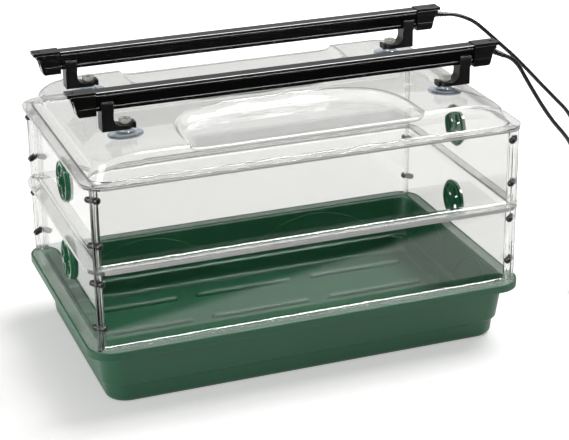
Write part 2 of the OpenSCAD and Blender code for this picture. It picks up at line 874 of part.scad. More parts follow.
// End cap at the right end: a stepped sleeve whose end is cut back below its top plate
module cap(keyhole_r) {
    body = lamp_body_w / 2 + neck_grow + cap_grow;
    shoulder = body + fin_grow - neck_grow;
    slant = cap_undercut / (fin_z + cap_drop);
    low_end = lamp_end - cap_undercut;
    difference() {
        union() {
            translate([housing_end, -lamp_w / 2 - cap_grow, top_z - cap_grow])
                cube([cap_len, lamp_w + 2 * cap_grow, fin_t + 2 * cap_grow]);
            translate([housing_end, -shoulder, fin_z - fin_t - cap_grow])
                cube([cap_len - cap_undercut / 3, 2 * shoulder, top_z - fin_z + fin_t + fuse]);
            rotate([90, 0, 0])
                linear_extrude(height = 2 * body, center = true)
                    polygon([
                        [housing_end, -cap_drop], [low_end - 2, -cap_drop], [low_end, -cap_drop + 2],
                        [low_end + slant * fin_z * 0.6, fin_z], [housing_end, fin_z]
                    ]);
            translate([housing_end, -body - rail_grow / 2, rail_z])
                cube([low_end - housing_end - 2, 2 * body + rail_grow, fin_t]);
        }
        translate([lamp_end - keyhole_r * 4, 0, top_z - cap_grow - past])
            cylinder(r = keyhole_r, h = fin_t + 2 * cap_grow + 2 * past);
        translate([lamp_end - keyhole_r * 4, -keyhole_r / 2, lamp_h - cap_grow])
            cube([keyhole_r * 5, keyhole_r, 3 * cap_grow]);
    }
}

socket_w = 13;
socket_h = 14;
socket_depth = 7;
socket_z = 7;
keyhole_r = 2.2;

module socket_block(grow, depth) {
    low_end = lamp_end - cap_undercut;
    translate([low_end - depth, -socket_w / 2 - grow, socket_z - socket_h / 2 - grow])
        cube([depth + past, socket_w + 2 * grow, socket_h + 2 * grow]);
}

module left_cap(side) {
    color(part_black)
        at_lamp(side)
            mirror([1, 0, 0])
                difference() {
                    cap(keyhole_r);
                    translate([past * 4, 0, 0])
                        socket_block(slide_gap, socket_depth + past * 4);
                }
}

// The cap at the lead's end carries a collar for the sleeve
module right_cap(side, tilt) {
    color(part_black) {
        at_lamp(side)
            cap(keyhole_r);
        at_lead(side, tilt)
            translate([0, 0, -collar_l / 2])
                cylinder(r = collar_r, h = 1.5 * collar_l);
    }
}

// Pale insert that takes a linking lead
module link_socket(side) {
    hole_r = 1.4;
    hole_step = 4;
    low_end = lamp_end - cap_undercut;
    color(light_white)
        at_lamp(side)
            mirror([1, 0, 0])
                difference() {
                    translate([-slide_gap, 0, 0])
                        socket_block(0, socket_depth - slide_gap);
                    for (i = [-1:1])
                        translate([low_end - socket_depth + past * 3, i * hole_step, socket_z])
                            rotate([0, 90, 0])
                                cylinder(r = hole_r, h = socket_depth + past);
                }
}

// Brackets

foot_low = lid_top + foot_z - lamp_z;
// Small block across the free end of a foot, clear of the nut
stop_gap = 0.6;
stop_l = 4;
stop_w = 14;
stop_h = 2;
foot_top = foot_low + foot_t;

// Side view of a bracket's leg and foot, with a hollow curve between them
function leg_outline() =
    let(out = bracket_x, in = bracket_x - bracket_w, gusset = min(10, -foot_top - clip_t - clip_gap - 1))
    concat(
        [[out, -clip_t - clip_gap + fuse], [out, foot_low], [cup_x, foot_low], [cup_x, foot_top]],
        arc(in - gusset, foot_top + gusset, gusset, -90, 0, bend_steps),
        [[in, -clip_t - clip_gap + fuse]]
    );

// Bracket at the right end: clip round the lamp, leg, and foot with the stud's hole
module bracket() {
    arm = lamp_body_w / 2 + rail_grow + clip_gap;
    hook_z = rail_z + fin_t + clip_gap;
    hook = lamp_body_w / 2 + clip_gap;
    difference() {
        union() {
            translate([bracket_x - bracket_w, 0, 0])
                rotate([90, 0, 90])
                    linear_extrude(height = bracket_w) {
                        translate([-arm - clip_t, -clip_t - clip_gap])
                            square([2 * (arm + clip_t), clip_t]);
                        for (s = [0, 1])
                            mirror([s, 0])
                                polygon([
                                    [arm, -clip_t - clip_gap], [arm + clip_t, -clip_t - clip_gap],
                                    [arm + clip_t, clip_h - 4], [arm + clip_t + 1, clip_h - 2],
                                    [arm + clip_t, clip_h], [arm, clip_h],
                                    [hook, hook_z + 3], [hook, hook_z], [arm, hook_z]
                                ]);
                    }
            rotate([90, 0, 0])
                linear_extrude(height = foot_w, center = true)
                    polygon(leg_outline());
            translate([cup_x, 0, foot_low])
                cylinder(r = foot_w / 2, h = foot_t);
            translate([cup_x - nut_r - stop_gap - stop_l, -stop_w / 2, foot_low])
                cube([stop_l, stop_w, foot_t + stop_h]);
        }
        translate([cup_x, 0, foot_low - past])
            cylinder(r = stud_r + rivet_gap, h = foot_t + 2 * past);
    }
}

module at_bracket(side, end) {
    at_lamp(side)
        mirror([end < 0 ? 1 : 0, 0, 0])
            children();
}

module lamp_bracket(side, end) {
    color(part_black)
        at_bracket(side, end)
            bracket();
}

// Suction cup pressed flat on the lid, with its neck under the foot and its stud through it
module suction_cup(side, end) {
    low = -lamp_gap;
    lip = 1.2;
    hollow_r = cup_r * 0.7;
    hollow_h = 1.2;
    stud_top = foot_z + foot_t + nut_h - 1;
    collar = cup_neck_r - 1.6;
    color(clear_cup)
        at_bracket(side, end)
            translate([cup_x, 0, low])
                rotate_extrude()
                    polygon(concat(
                        [[0, hollow_h], [hollow_r * 0.5, hollow_h * 0.75], [hollow_r, 0]],
                        [[cup_r, 0], [cup_r, lip], [cup_r * 0.8, lip + 1]],
                        [[cup_r * 0.55, lip + 2.2], [cup_neck_r, lip + 3.2]],
                        [[cup_neck_r, foot_z - 1.6], [collar, foot_z - 1], [collar, foot_z]],
                        [[stud_r, foot_z], [stud_r, stud_top], [0, stud_top]]
                    ));
}

// Thumb nut: grooved knob on a narrow collar
module thumb_nut(side, end) {
    neck_r = nut_r * 0.6;
    neck_h = nut_h * 0.32;
    bore_r = stud_r + stud_gap;
    groove_r = 0.9;
    color(nut_clear)
        at_bracket(side, end)
            translate([cup_x, 0, foot_top])
                difference() {
                    rotate_extrude()
                        polygon([
                            [bore_r, 0], [neck_r, 0], [neck_r, neck_h], [nut_r - 1, neck_h],
                            [nut_r, neck_h + 1], [nut_r, nut_h - 1], [nut_r - 1, nut_h], [bore_r, nut_h]
                        ]);
                    for (i = [0:nut_grooves - 1])
                        rotate([0, 0, 360 * i / nut_grooves])
                            translate([nut_r + groove_r * 0.4, 0, neck_h - past])
                                cylinder(r = groove_r, h = nut_h);
                }
}

// Leads

// Tapered sleeve with rings, from the cap's collar to the start of the lead
module lead_sleeve(side, tilt) {
    base_r = lead_d / 2 + 1.6;
    tip_r = lead_d / 2 + 0.5;
    rings = 5;
    groove = 0.7;
    color(part_black)
        at_lead(side, tilt)
            translate([0, 0, collar_l])
                rotate_extrude()
                    polygon(concat(
                        [[0, 0], [base_r, 0]],
                        [
                            for (i = [0:rings - 1])
                                let(r = base_r + (tip_r - base_r) * i / rings, step = sleeve_l / rings)
                                each [[r, step * (i + 0.35)], [r - groove, step * (i + 0.45)],
                                      [r - groove, step * (i + 0.8)], [r - groove / 2, step * (i + 0.9)]]
                        ],
                        [[tip_r, sleeve_l], [0, sleeve_l]]
                    ));
}

module lead(route, tilt) {
    color(part_black)
        tube(spline(route, spline_steps), lead_d / 2, lead_sides, sleeve_dir(tilt), down_y, [0, 1, 0]);
}

// Middle line of a coil whose first turn starts at the end of a route, heading along -Y
function coil_radius(t) =
    t < turns_in ? coil_r - coil_pitch * t :
    t < turns_in + 0.5 ? coil_drop - coil_pitch * coil_ease * sin(360 * (t - turns_in)) :
    coil_drop + coil_pitch * (t - turns_in - 0.5);
function coil_rise(t) =
    let(u = min(max((t - turns_in) * 2, 0), 1))
    coil_z + coil_pitch * (1 - cos(180 * u)) / 2;
function coil_centre(end) = [end[0] + coil_r, end[1] - coil_lead_in];
function coil_point(c, t) =
    let(a = 180 + 360 * t)
    [c[0] + coil_radius(t) * cos(a), c[1] + coil_radius(t) * sin(a), coil_rise(t)];
function coil_path(end) =
    let(c = coil_centre(end), n = coil_rings * coil_total)
    concat(
        [end],
        [for (i = [0:n]) coil_point(c, i / coil_rings)],
        [coil_point(c, coil_total) + [0, -coil_lead_in, 0]]
    );

// Least gap between the turns of a coil, measured between points more than half a turn apart
function coil_gap(end) =
    let(p = coil_path(end), n = len(p) - 1, apart = coil_rings / 2)
    min([
        for (i = [0:n]) for (j = [i + apart:n])
            norm(p[i] - p[j])
    ]) - lead_d;
echo(front_coil_gap = coil_gap(route_front_end));
echo(rear_coil_gap = coil_gap(route_rear_end));

module lead_coil(route) {
    end = route[len(route) - 1];
    color(part_black)
        tube(coil_path(end), lead_d / 2, coil_sides, down_y, down_y, [1, 0, 0]);
}

// Strap closed round the turns of a coil, on the side away from the lead
module lead_tie(route) {
    end = route[len(route) - 1];
    c = coil_centre(end);
    inner = coil_drop - coil_pitch * coil_ease - lead_d / 2 - tie_gap;
    outer = coil_end_r - coil_pitch / 2 + lead_d / 2 + tie_gap;
    low = coil_z - lead_d / 2 - tie_gap;
    high = coil_z + coil_pitch + lead_d / 2 + tie_gap;
    color(part_black)
        translate([c[0], c[1], 0])
            rotate([90, 0, 0])
                linear_extrude(height = tie_w, center = true)
                    difference() {
                        union() {
                            translate([inner - tie_t, low - tie_t])
                                square([outer - inner + 2 * tie_t, high - low + 2 * tie_t]);
                            translate([inner + tie_head, high])
                                square([2 * tie_head, tie_head]);
                        }
                        translate([inner, low])
                            square([outer - inner, high - low]);
                    }
}

// Flat plug with two round pins, at the outer end of a coil
module lead_plug(route) {
    end = route[len(route) - 1];
    c = coil_centre(end);
    neck = plug_nose_r * 1.4;
    nose_end = plug_nose_l;
    body_end = nose_end + plug_body_l;
    color(part_black)
        translate([c[0] - coil_end_r, c[1] - coil_lead_in, 0]) {
            translate([0, 0, coil_z + coil_pitch])
                rotate([90, 0, 0])
                    cylinder(r1 = lead_d / 2 + 0.6, r2 = plug_nose_r, h = plug_nose_l + fuse);
            linear_extrude(height = plug_t)
                polygon([
                    [-neck, -nose_end], [neck, -nose_end], [plug_w / 2, -nose_end - 12],
                    [plug_w / 2, -body_end + 3], [plug_w / 2 - 3, -body_end],
                    [3 - plug_w / 2, -body_end], [-plug_w / 2, -body_end + 3], [-plug_w / 2, -nose_end - 12]
                ]);
            for (s = [-1, 1])
                translate([s * plug_pin_gap / 2, fuse - body_end, plug_t / 2])
                    rotate([90, 0, 0])
                        cylinder(r = plug_pin_r, h = plug_pin_l + fuse);
        }
}

tray();
long_panel(-1, lower_z);  // lower_front_panel
long_panel(1, lower_z);  // lower_rear_panel
end_panel(-1, lower_z);  // lower_left_panel
end_panel(1, lower_z);  // lower_right_panel
tier_rivets(lower_z);  // lower_rivets
at_vent(-1, lower_z) vent_grille();  // lower_left_vent_grille
at_vent(-1, lower_z) vent_pin();  // lower_left_vent_pin
at_vent(-1, lower_z, ajar_turn) vent_shutter();  // lower_left_vent_shutter
at_vent(1, lower_z) vent_grille();  // lower_right_vent_grille
at_vent(1, lower_z) vent_pin();  // lower_right_vent_pin
at_vent(1, lower_z, half_turn) vent_shutter();  // lower_right_vent_shutter
long_panel(-1, upper_z);  // upper_front_panel
long_panel(1, upper_z);  // upper_rear_panel
end_panel(-1, upper_z);  // upper_left_panel
end_panel(1, upper_z);  // upper_right_panel
tier_rivets(upper_z);  // upper_rivets
at_vent(-1, upper_z) vent_grille();  // upper_left_vent_grille
at_vent(-1, upper_z) vent_pin();  // upper_left_vent_pin
at_vent(-1, upper_z, shut_turn) vent_shutter();  // upper_left_vent_shutter
at_vent(1, upper_z) vent_grille();  // upper_right_vent_grille
at_vent(1, upper_z) vent_pin();  // upper_right_vent_pin
at_vent(1, upper_z, half_turn) vent_shutter();  // upper_right_vent_shutter
lid();
lamp_housing(-1);  // front_lamp_housing
lamp_board(-1);  // front_lamp_board
lamp_diffuser(-1);  // front_lamp_diffuser
left_cap(-1);  // front_lamp_left_cap
right_cap(-1, front_tilt);  // front_lamp_right_cap
link_socket(-1);  // front_lamp_link_socket
lamp_bracket(-1, -1);  // front_lamp_left_bracket
lamp_bracket(-1, 1);  // front_lamp_right_bracket
suction_cup(-1, -1);  // front_lamp_left_cup
suction_cup(-1, 1);  // front_lamp_right_cup
thumb_nut(-1, -1);  // front_lamp_left_nut
thumb_nut(-1, 1);  // front_lamp_right_nut
lead_sleeve(-1, front_tilt);  // front_lead_sleeve
lead(front_route, front_tilt);  // front_lead
lead_coil(front_route);  // front_lead_coil
lead_tie(front_route);  // front_lead_tie
lead_plug(front_route);  // front_lead_plug
lamp_housing(1);  // rear_lamp_housing
lamp_board(1);  // rear_lamp_board
lamp_diffuser(1);  // rear_lamp_diffuser
left_cap(1);  // rear_lamp_left_cap
right_cap(1, rear_tilt);  // rear_lamp_right_cap
link_socket(1);  // rear_lamp_link_socket
lamp_bracket(1, -1);  // rear_lamp_left_bracket
lamp_bracket(1, 1);  // rear_lamp_right_bracket
suction_cup(1, -1);  // rear_lamp_left_cup
suction_cup(1, 1);  // rear_lamp_right_cup
thumb_nut(1, -1);  // rear_lamp_left_nut
thumb_nut(1, 1);  // rear_lamp_right_nut
lead_sleeve(1, rear_tilt);  // rear_lead_sleeve
lead(rear_route, rear_tilt);  // rear_lead
lead_coil(rear_route);  // rear_lead_coil
lead_tie(rear_route);  // rear_lead_tie
lead_plug(rear_route);  // rear_lead_plug
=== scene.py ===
"""Seed propagator with grow light: the dressed model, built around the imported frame.

A green tray, two tiers of clear walls with turning vents, a clear lid with hand scoops, and two
lamps on suction cups, each with its own lead. Sizes are in millimetres and become metres in the mesh.
"""

import logging
import math
from contextlib import contextmanager
from dataclasses import dataclass
from enum import Enum
from typing import Any, Callable, Iterable, Iterator, Sequence

import bmesh
import bpy
from mathutils import Matrix, Vector


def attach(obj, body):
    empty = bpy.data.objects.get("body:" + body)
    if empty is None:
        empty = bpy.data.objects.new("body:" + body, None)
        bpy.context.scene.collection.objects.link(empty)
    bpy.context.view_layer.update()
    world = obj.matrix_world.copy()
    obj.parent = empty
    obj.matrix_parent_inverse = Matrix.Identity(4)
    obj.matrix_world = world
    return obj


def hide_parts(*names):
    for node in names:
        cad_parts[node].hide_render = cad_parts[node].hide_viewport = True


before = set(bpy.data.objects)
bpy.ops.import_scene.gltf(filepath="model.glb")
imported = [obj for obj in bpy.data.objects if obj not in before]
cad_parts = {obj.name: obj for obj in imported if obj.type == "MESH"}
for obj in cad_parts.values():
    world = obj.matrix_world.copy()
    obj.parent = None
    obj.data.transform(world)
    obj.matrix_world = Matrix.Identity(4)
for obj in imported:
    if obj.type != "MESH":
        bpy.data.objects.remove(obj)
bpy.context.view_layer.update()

# One millimetre, in metres
MM = 0.001
# Thin film of air that keeps clear pieces apart where they rest on each other
AIR = 0.08
# Points closer than this are one point, in metres
MERGE = 2e-6
# Edges flatter than this are taken out of a copied mesh, in degrees
FLAT = 0.4
# Depth of a full bump, in metres
BUMP_DEPTH = 0.0004
# Outer width and depth of the clear walls and of the lid
RIM_W, RIM_D = 600.0, 368.0
WHITE = (1.0, 1.0, 1.0, 1.0)
LOG = logging.getLogger("propagator")

Point = tuple[float, float, float]
Profile = list[tuple[float, float]]
Piece = bpy.types.Object
Mesh = bpy.types.Mesh
Node = bpy.types.Node
Tree = bpy.types.NodeTree
Socket = bpy.types.NodeSocket


class Named(Enum):
    """A choice whose name is part of node names."""

    @property
    def label(self) -> str:
        """Name used in the node and body names."""
        return self.name.lower()


class Side(Named):
    """Front or rear, by the sign of Y."""

    FRONT = -1
    REAR = 1

    @property
    def lamp(self) -> str:
        """Name of the lamp's body."""
        return self.label + "_lamp"


class End(Named):
    """Left or right, by the sign of X."""

    LEFT = -1
    RIGHT = 1


class Level(Named):
    """The two tiers, by the height of their underside in millimetres."""

    LOWER = 85.0
    UPPER = 197.0

    @property
    def tier(self) -> str:
        """Name of the tier's body."""
        return self.label + "_tier"


class Once:
    """Things with names, each built the first time it is asked for."""

    made: dict[str, Any]

    def __init_subclass__(cls) -> None:
        """Give each kind of thing its own store."""
        cls.made = {}

    @classmethod
    def get(cls, name: str) -> Any:
        """Give a thing by name.

        Args:
            name: the thing's name.

        Returns:
            The thing, built once.
        """
        if name not in cls.made:
            cls.made[name] = cls.build(name)
        return cls.made[name]

    @classmethod
    def build(cls, name: str) -> Any:
        """Build a thing with the method of its name."""
        return getattr(cls, name)()


# Shaders


class NodeSheet:
    """A node tree with short calls to add nodes and links."""

    def __init__(self, tree: Tree) -> None:
        """Keep the tree that gets the nodes."""
        self.tree = tree

    def add(self, kind: str, props: dict[str, Any] | None = None, *inputs: Any, **values: Any) -> Node:
        """Add one node.

        Args:
            kind: the node's type name.
            props: properties of the node itself.
            *inputs: its inputs in order; one that is a socket is linked.
            **values: its inputs by name, with spaces written as underscores.

        Returns:
            The new node.
        """
        node = self.tree.nodes.new(kind)
        for key, value in (props or {}).items():
            setattr(node, key, value)
        for key, value in [*enumerate(inputs), *values.items()]:
            self.put(node, key, value)
        return node

    def put(self, node: Node, key: str | int, value: Any) -> None:
        """Set or link one input.

        Args:
            node: the node.
            key: the input's number, or its name with spaces or underscores.
            value: a number, a colour or an output socket.
        """
        socket = node.inputs[key.replace("_", " ") if isinstance(key, str) else key]
        if isinstance(value, Socket):
            self.tree.links.new(value, socket)
        else:
            socket.default_value = value

    def math(self, operation: str, *values: Any, clamp: bool = False) -> Socket:
        """Add Math nodes that take up values one after another.

        Args:
            operation: their operation.
            *values: two or more numbers or sockets.
            clamp: keeps the result from 0 to 1.

        Returns:
            The result.
        """
        result = values[0]
        for number, value in enumerate(values[1:], 2):
            props = {"operation": operation, "use_clamp": clamp and number == len(values)}
            result = self.add("ShaderNodeMath", props, result, value).outputs[0]
        return result

    def ramp(self, value: Socket, start: float, end: float, low: float = 0.0, high: float = 1.0,
             soft: bool = True) -> Socket:
        """Map a value from one range to another.

        Args:
            value: the value.
            start: where its range starts.
            end: where its range ends.
            low: the result at the start.
            high: the result at the end.
            soft: eases in and out.

        Returns:
            The result.
        """
        props = {"interpolation_type": "SMOOTHSTEP" if soft else "LINEAR"}
        return self.add("ShaderNodeMapRange", props, Value=value, From_Min=start, From_Max=end,
                        To_Min=low, To_Max=high).outputs[0]

    def mix(self, share: Any, a: Any, b: Any) -> Socket:
        """Mix two colours.

        Args:
            share: share of the second colour.
            a: first colour.
            b: second colour.

        Returns:
            The mixed colour.
        """
        node = self.add("ShaderNodeMix", {"data_type": "RGBA"})
        for number, value in ((0, share), (6, a), (7, b)):
            self.put(node, number, value)
        return node.outputs[2]

    def blend(self, share: Socket, a: Socket, b: Socket) -> Socket:
        """Mix two shaders, by the share of the second."""
        return self.add("ShaderNodeMixShader", None, share, a, b).outputs[0]

    def place(self) -> Socket:
        """Give the object coordinates."""
        return self.add("ShaderNodeTexCoord").outputs["Object"]

    def rays(self, name: str) -> Socket:
        """Give one fact about the ray that arrives."""
        return self.add("ShaderNodeLightPath").outputs[name]

    def noise(self, place: Socket, scale: Any, detail: float) -> Socket:
        """Give noise at a place."""
        return self.add("ShaderNodeTexNoise", Vector=place, Scale=scale, Detail=detail).outputs[0]

    def bump(self, height: Socket, strength: float) -> Socket:
        """Turn a height into a normal."""
        return self.add("ShaderNodeBump", Height=height, Strength=strength, Distance=BUMP_DEPTH).outputs[0]

    def effect(self, name: str, **values: Any) -> bpy.types.NodeOutputs:
        """Add a shared shader group and give its outputs."""
        return self.add("ShaderNodeGroup", {"node_tree": Effects.get(name)}, **values).outputs


def open_tree(name: str, kind: str, inputs: dict[str, str],
              outputs: dict[str, str]) -> tuple[NodeSheet, bpy.types.NodeOutputs, Node]:
    """Start a shader group or a geometry tree.

    Args:
        name: the tree's name.
        kind: Shader or Geometry.
        inputs: input names and their socket types.
        outputs: output names and their socket types.

    Returns:
        The tree's sheet, the sockets of its input node, and its output node.
    """
    tree = bpy.data.node_groups.new(name, kind + "NodeTree")
    for way, sockets in (("INPUT", inputs), ("OUTPUT", outputs)):
        for label, type_name in sockets.items():
            tree.interface.new_socket(label, in_out=way, socket_type="NodeSocket" + type_name)
    sheet = NodeSheet(tree)
    return sheet, sheet.add("NodeGroupInput").outputs, sheet.add("NodeGroupOutput")


class Effects(Once):
    """Shader groups that several finishes share."""

    broad_scale = 14.0
    speck = 0.06
    # Turn and break-up scale of the paler edges: wear and painted edge highlight
    rub_turn = (0.52, 0.62)
    rub_scale = 160.0
    wipe_stretch = (9.0, 9.0, 140.0)
    wipe_scale = 3.0
    haze_scale = 6.0

    @classmethod
    def grain(cls) -> Tree:
        """Moulded grain: mottled colour, uneven gloss and a fine height.

        Returns:
            The group.
        """
        sheet, ins, outs = open_tree(
            "moulded_grain", "Shader",
            {"Colour": "Color", "Deep": "Color", "Mottle": "Float", "Grain": "Float", "Gloss": "Float",
             "Spread": "Float"},
            {"Colour": "Color", "Roughness": "Float", "Height": "Float"})
        place = sheet.place()
        broad = sheet.noise(place, cls.broad_scale, 4.0)
        fine = sheet.noise(place, ins["Grain"], 2.0)
        share = sheet.math("MULTIPLY", broad, ins["Mottle"], clamp=True)
        uneven = sheet.math("MULTIPLY", sheet.math("SUBTRACT", broad, 0.5), ins["Spread"])
        speck = sheet.math("MULTIPLY", sheet.math("SUBTRACT", fine, 0.5), cls.speck)
        sheet.put(outs, "Colour", sheet.mix(share, ins["Colour"], ins["Deep"]))
        sheet.put(outs, "Roughness", sheet.math("ADD", ins["Gloss"], uneven, speck, clamp=True))
        sheet.put(outs, "Height", fine)
        return sheet.tree

    @classmethod
    def rubbed(cls) -> Tree:
        """Paler edges, from how sharply the surface turns: rubbing wear and a painted edge highlight.

        Returns:
            The group.
        """
        sheet, ins, outs = open_tree(
            "rubbed_edges", "Shader", {"Colour": "Color", "Rub": "Color", "Amount": "Float"},
            {"Colour": "Color"})
        point = sheet.add("ShaderNodeNewGeometry").outputs["Pointiness"]
        turned = sheet.ramp(point, *cls.rub_turn, soft=False)
        broken = sheet.noise(sheet.place(), cls.rub_scale, 3.0)
        mask = sheet.math("MULTIPLY", turned, broken, ins["Amount"], clamp=True)
        sheet.put(outs, "Colour", sheet.mix(mask, ins["Colour"], ins["Rub"]))
        return sheet.tree

    @classmethod
    def scuffs(cls) -> Tree:
        """Faint wiping marks in a clear face: uneven gloss and a very low height.

        Returns:
            The group.
        """
        sheet, ins, outs = open_tree("wiping_scuffs", "Shader", {"Gloss": "Float", "Amount": "Float"},
                                     {"Roughness": "Float", "Height": "Float"})
        place = sheet.place()
        drawn = sheet.add("ShaderNodeMapping", Vector=place, Scale=cls.wipe_stretch).outputs[0]
        streak = sheet.noise(drawn, cls.wipe_scale, 5.0)
        haze = sheet.noise(place, cls.haze_scale, 3.0)
        extra = sheet.math("MULTIPLY", streak, haze, ins["Amount"])
        sheet.put(outs, "Roughness", sheet.math("ADD", ins["Gloss"], extra, clamp=True))
        sheet.put(outs, "Height", haze)
        return sheet.tree


def linear(hex_colour: str) -> tuple[float, float, float, float]:
    """Turn a colour of six hexadecimal digits after a hash sign into linear values."""
    parts = [int(hex_colour[i:i + 2], 16) / 255 for i in (1, 3, 5)]
    return tuple(c / 12.92 if c <= 0.04045 else ((c + 0.055) / 1.055) ** 2.4 for c in parts) + (1.0,)


def blank_material(name: str) -> tuple[bpy.types.Material, NodeSheet, Node]:
    """Start an empty material.

    Args:
        name: the material's name.

    Returns:
        The material, its sheet and its output node.
    """
    material = bpy.data.materials.new(name)
    material.use_nodes = True
    material.node_tree.nodes.clear()
    sheet = NodeSheet(material.node_tree)
    return material, sheet, sheet.add("ShaderNodeOutputMaterial")


@dataclass(frozen=True)
class Moulded:
    """Opaque moulded plastic or painted metal."""

    name: str
    colour: str
    deep: str
    # Colour of the paler edges: wear and painted edge highlight
    rub: str
    gloss: float = 0.35
    spread: float = 0.1
    mottle: float = 0.6
    grain: float = 900.0
    bump: float = 0.05
    # Amount of paler edges: rubbing wear and a painted edge highlight
    rubbed: float = 0.25
    metallic: float = 0.0
    specular: float = 0.5

    def make(self) -> bpy.types.Material:
        """Build the material from the shared grain and the paler edges of wear and painted highlight.

        Returns:
            The material.
        """
        material, sheet, out = blank_material(self.name)
        grain = sheet.effect("grain", Colour=linear(self.colour), Deep=linear(self.deep), Mottle=self.mottle,
                             Grain=self.grain, Gloss=self.gloss, Spread=self.spread)
        edges = sheet.effect("rubbed", Colour=grain["Colour"], Rub=linear(self.rub), Amount=self.rubbed)
        shader = sheet.add("ShaderNodeBsdfPrincipled", Base_Color=edges["Colour"],
                           Roughness=grain["Roughness"], Normal=sheet.bump(grain["Height"], self.bump),
                           Metallic=self.metallic, Specular_IOR_Level=self.specular)
        sheet.put(out, 0, shader.outputs[0])
        return material


@dataclass(frozen=True)
class Clear:
    """Clear plastic that bends light and lets the lamps' light through."""

    name: str
    colour: str
    gloss: float = 0.01
    scuffs: float = 0.05
    bump: float = 0.02
    ior: float = 1.49
    shade: float = 0.94
    # Share of plain white diffuse in the clear: frost on the cup and the nut, painted sheen and painted
    # highlight on the flanges, their outer edges and the scoop edges
    milky: float = 0.0
    streaks: float = 0.0
    streak_stretch: Point = (1.0, 1.0, 0.03)
    streak_scale: float = 260.0

    def streaked(self, sheet: NodeSheet, height: Socket) -> Socket:
        """Add upright streaks to a height, as bending leaves them in a sheet.

        Args:
            sheet: the node sheet.
            height: the height without streaks.

        Returns:
            The height with streaks.
        """
        drawn = sheet.add("ShaderNodeVectorMath", {"operation": "MULTIPLY"}, sheet.place(),
                          self.streak_stretch)
        noise = sheet.noise(drawn.outputs[0], self.streak_scale, 1.0)
        return sheet.math("ADD", height, sheet.math("MULTIPLY", noise, self.streaks))

    def make(self) -> bpy.types.Material:
        """Build the material from the shared scuffs.

        Returns:
            The material.
        """
        material, sheet, out = blank_material(self.name)
        scuffs = sheet.effect("scuffs", Gloss=self.gloss, Amount=self.scuffs)
        height = self.streaked(sheet, scuffs["Height"]) if self.streaks else scuffs["Height"]
        glass = sheet.add("ShaderNodeBsdfPrincipled", Base_Color=linear(self.colour), IOR=self.ior,
                          Roughness=scuffs["Roughness"], Normal=sheet.bump(height, self.bump),
                          Transmission_Weight=1.0 - self.milky)
        film = sheet.add("ShaderNodeBsdfTransparent", Color=(self.shade, self.shade, self.shade, 1.0))
        sheet.put(out, 0, sheet.blend(sheet.rays("Is Shadow Ray"), glass.outputs[0], film.outputs[0]))
        return material


class Finishes(Once):
    """All finishes of the propagator."""

    sheets = {
        "tray": Moulded("tray_green", "#215f40", "#1a5035", "#3c7d5f", gloss=0.4, spread=0.08, grain=700.0,
                        bump=0.04, rubbed=0.2),
        "vent": Moulded("vent_green", "#26704a", "#1d603d", "#4f9372", gloss=0.12, grain=1400.0, bump=0.03,
                        specular=0.9),
        "lamp": Moulded("lamp_black", "#0b0b0c", "#080808", "#1c1c1d", gloss=0.2, spread=0.06, grain=2200.0,
                        bump=0.03, specular=0.45),
        "cap": Moulded("cap_black", "#0e0e0d", "#0a0a09", "#22221f", gloss=0.3, grain=1800.0, bump=0.07),
        "bracket": Moulded("bracket_black", "#101010", "#0b0b0b", "#262626", gloss=0.36, grain=1600.0,
                           bump=0.08),
        "rivet": Moulded("rivet_black", "#121212", "#0c0c0c", "#2a2a2a", gloss=0.3, grain=1600.0),
        "socket": Moulded("socket_grey", "#e2e3e3", "#d2d4d4", "#f0f0f0", gloss=0.4, grain=1500.0),
        "board": Moulded("board_white", "#e6e8e6", "#d3d6d3", "#f0f0f0", gloss=0.45, grain=1200.0),
        "led": Moulded("led_yellow", "#e3c86a", "#d6b652", "#f0e2a8", gloss=0.25, grain=2500.0),
        "diffuser": Moulded("diffuser_white", "#e4e6e7", "#d8dbdc", "#f2f2f2", gloss=0.45, grain=1500.0),
        "lead": Moulded("lead_black", "#111111", "#0c0c0c", "#252525", gloss=0.36, grain=2600.0, bump=0.06),
        "plug": Moulded("plug_black", "#131313", "#0d0d0d", "#2c2c2c", gloss=0.42, grain=1900.0, bump=0.08),
        "pin": Moulded("pin_nickel", "#c8c6c0", "#b4b1a8", "#e6e5e0", gloss=0.22, metallic=1.0),
        "tie": Moulded("tie_black", "#151515", "#101010", "#2c2c2c", gloss=0.45, grain=1600.0, bump=0.08),
        "clear": Clear("clear_wall", "#eeeeed"),
        "strip": Clear("clear_strip", "#efefee", gloss=0.02, bump=0.9, streaks=9.0),
        # Painted highlight: flange faces, flange outer edges and scoop edges are partly white diffuse, so
        # they read as bright reflections
        "rim": Clear("clear_rim", "#f6f6f5", gloss=0.02, scuffs=0.06, milky=0.08),
        "lip": Clear("clear_lip", "#f6f6f5", gloss=0.03, scuffs=0.06, milky=0.55),
        "edge": Clear("clear_edge", "#fbfbfa", gloss=0.06, scuffs=0.08, milky=0.5),
        "cup": Clear("cup_clear", "#dfe8f1", gloss=0.05, scuffs=0.08, ior=1.45, shade=0.9, milky=0.15),
        "nut": Clear("nut_clear", "#f3f2ea", gloss=0.1, scuffs=0.1, ior=1.46, shade=0.88, milky=0.6),
    }

    @classmethod
    def build(cls, name: str) -> bpy.types.Material:
        """Make the material of a finish."""
        return cls.sheets[name].make()


# Mesh tools


def link(made: Piece) -> Piece:
    """Put an object into the scene."""
    bpy.context.scene.collection.objects.link(made)
    return made


def new_object(name: str, mesh: Mesh) -> Piece:
    """Put a mesh into the scene under a name."""
    mesh.name = name
    return link(bpy.data.objects.new(name, mesh))


@contextmanager
def editing(mesh: Mesh, source: Mesh | None = None) -> Iterator[bmesh.types.BMesh]:
    """Edit a mesh and write it back.

    Args:
        mesh: the mesh that is written.
        source: the mesh that is read, if it is another one.

    Yields:
        The mesh under edit.
    """
    sheet = bmesh.new()
    sheet.from_mesh(source or mesh)
    yield sheet
    sheet.to_mesh(mesh)
    sheet.free()


def metres(points: Iterable[Point]) -> list[Point]:
    """Turn points in millimetres into points in metres."""
    return [tuple(c * MM for c in p) for p in points]


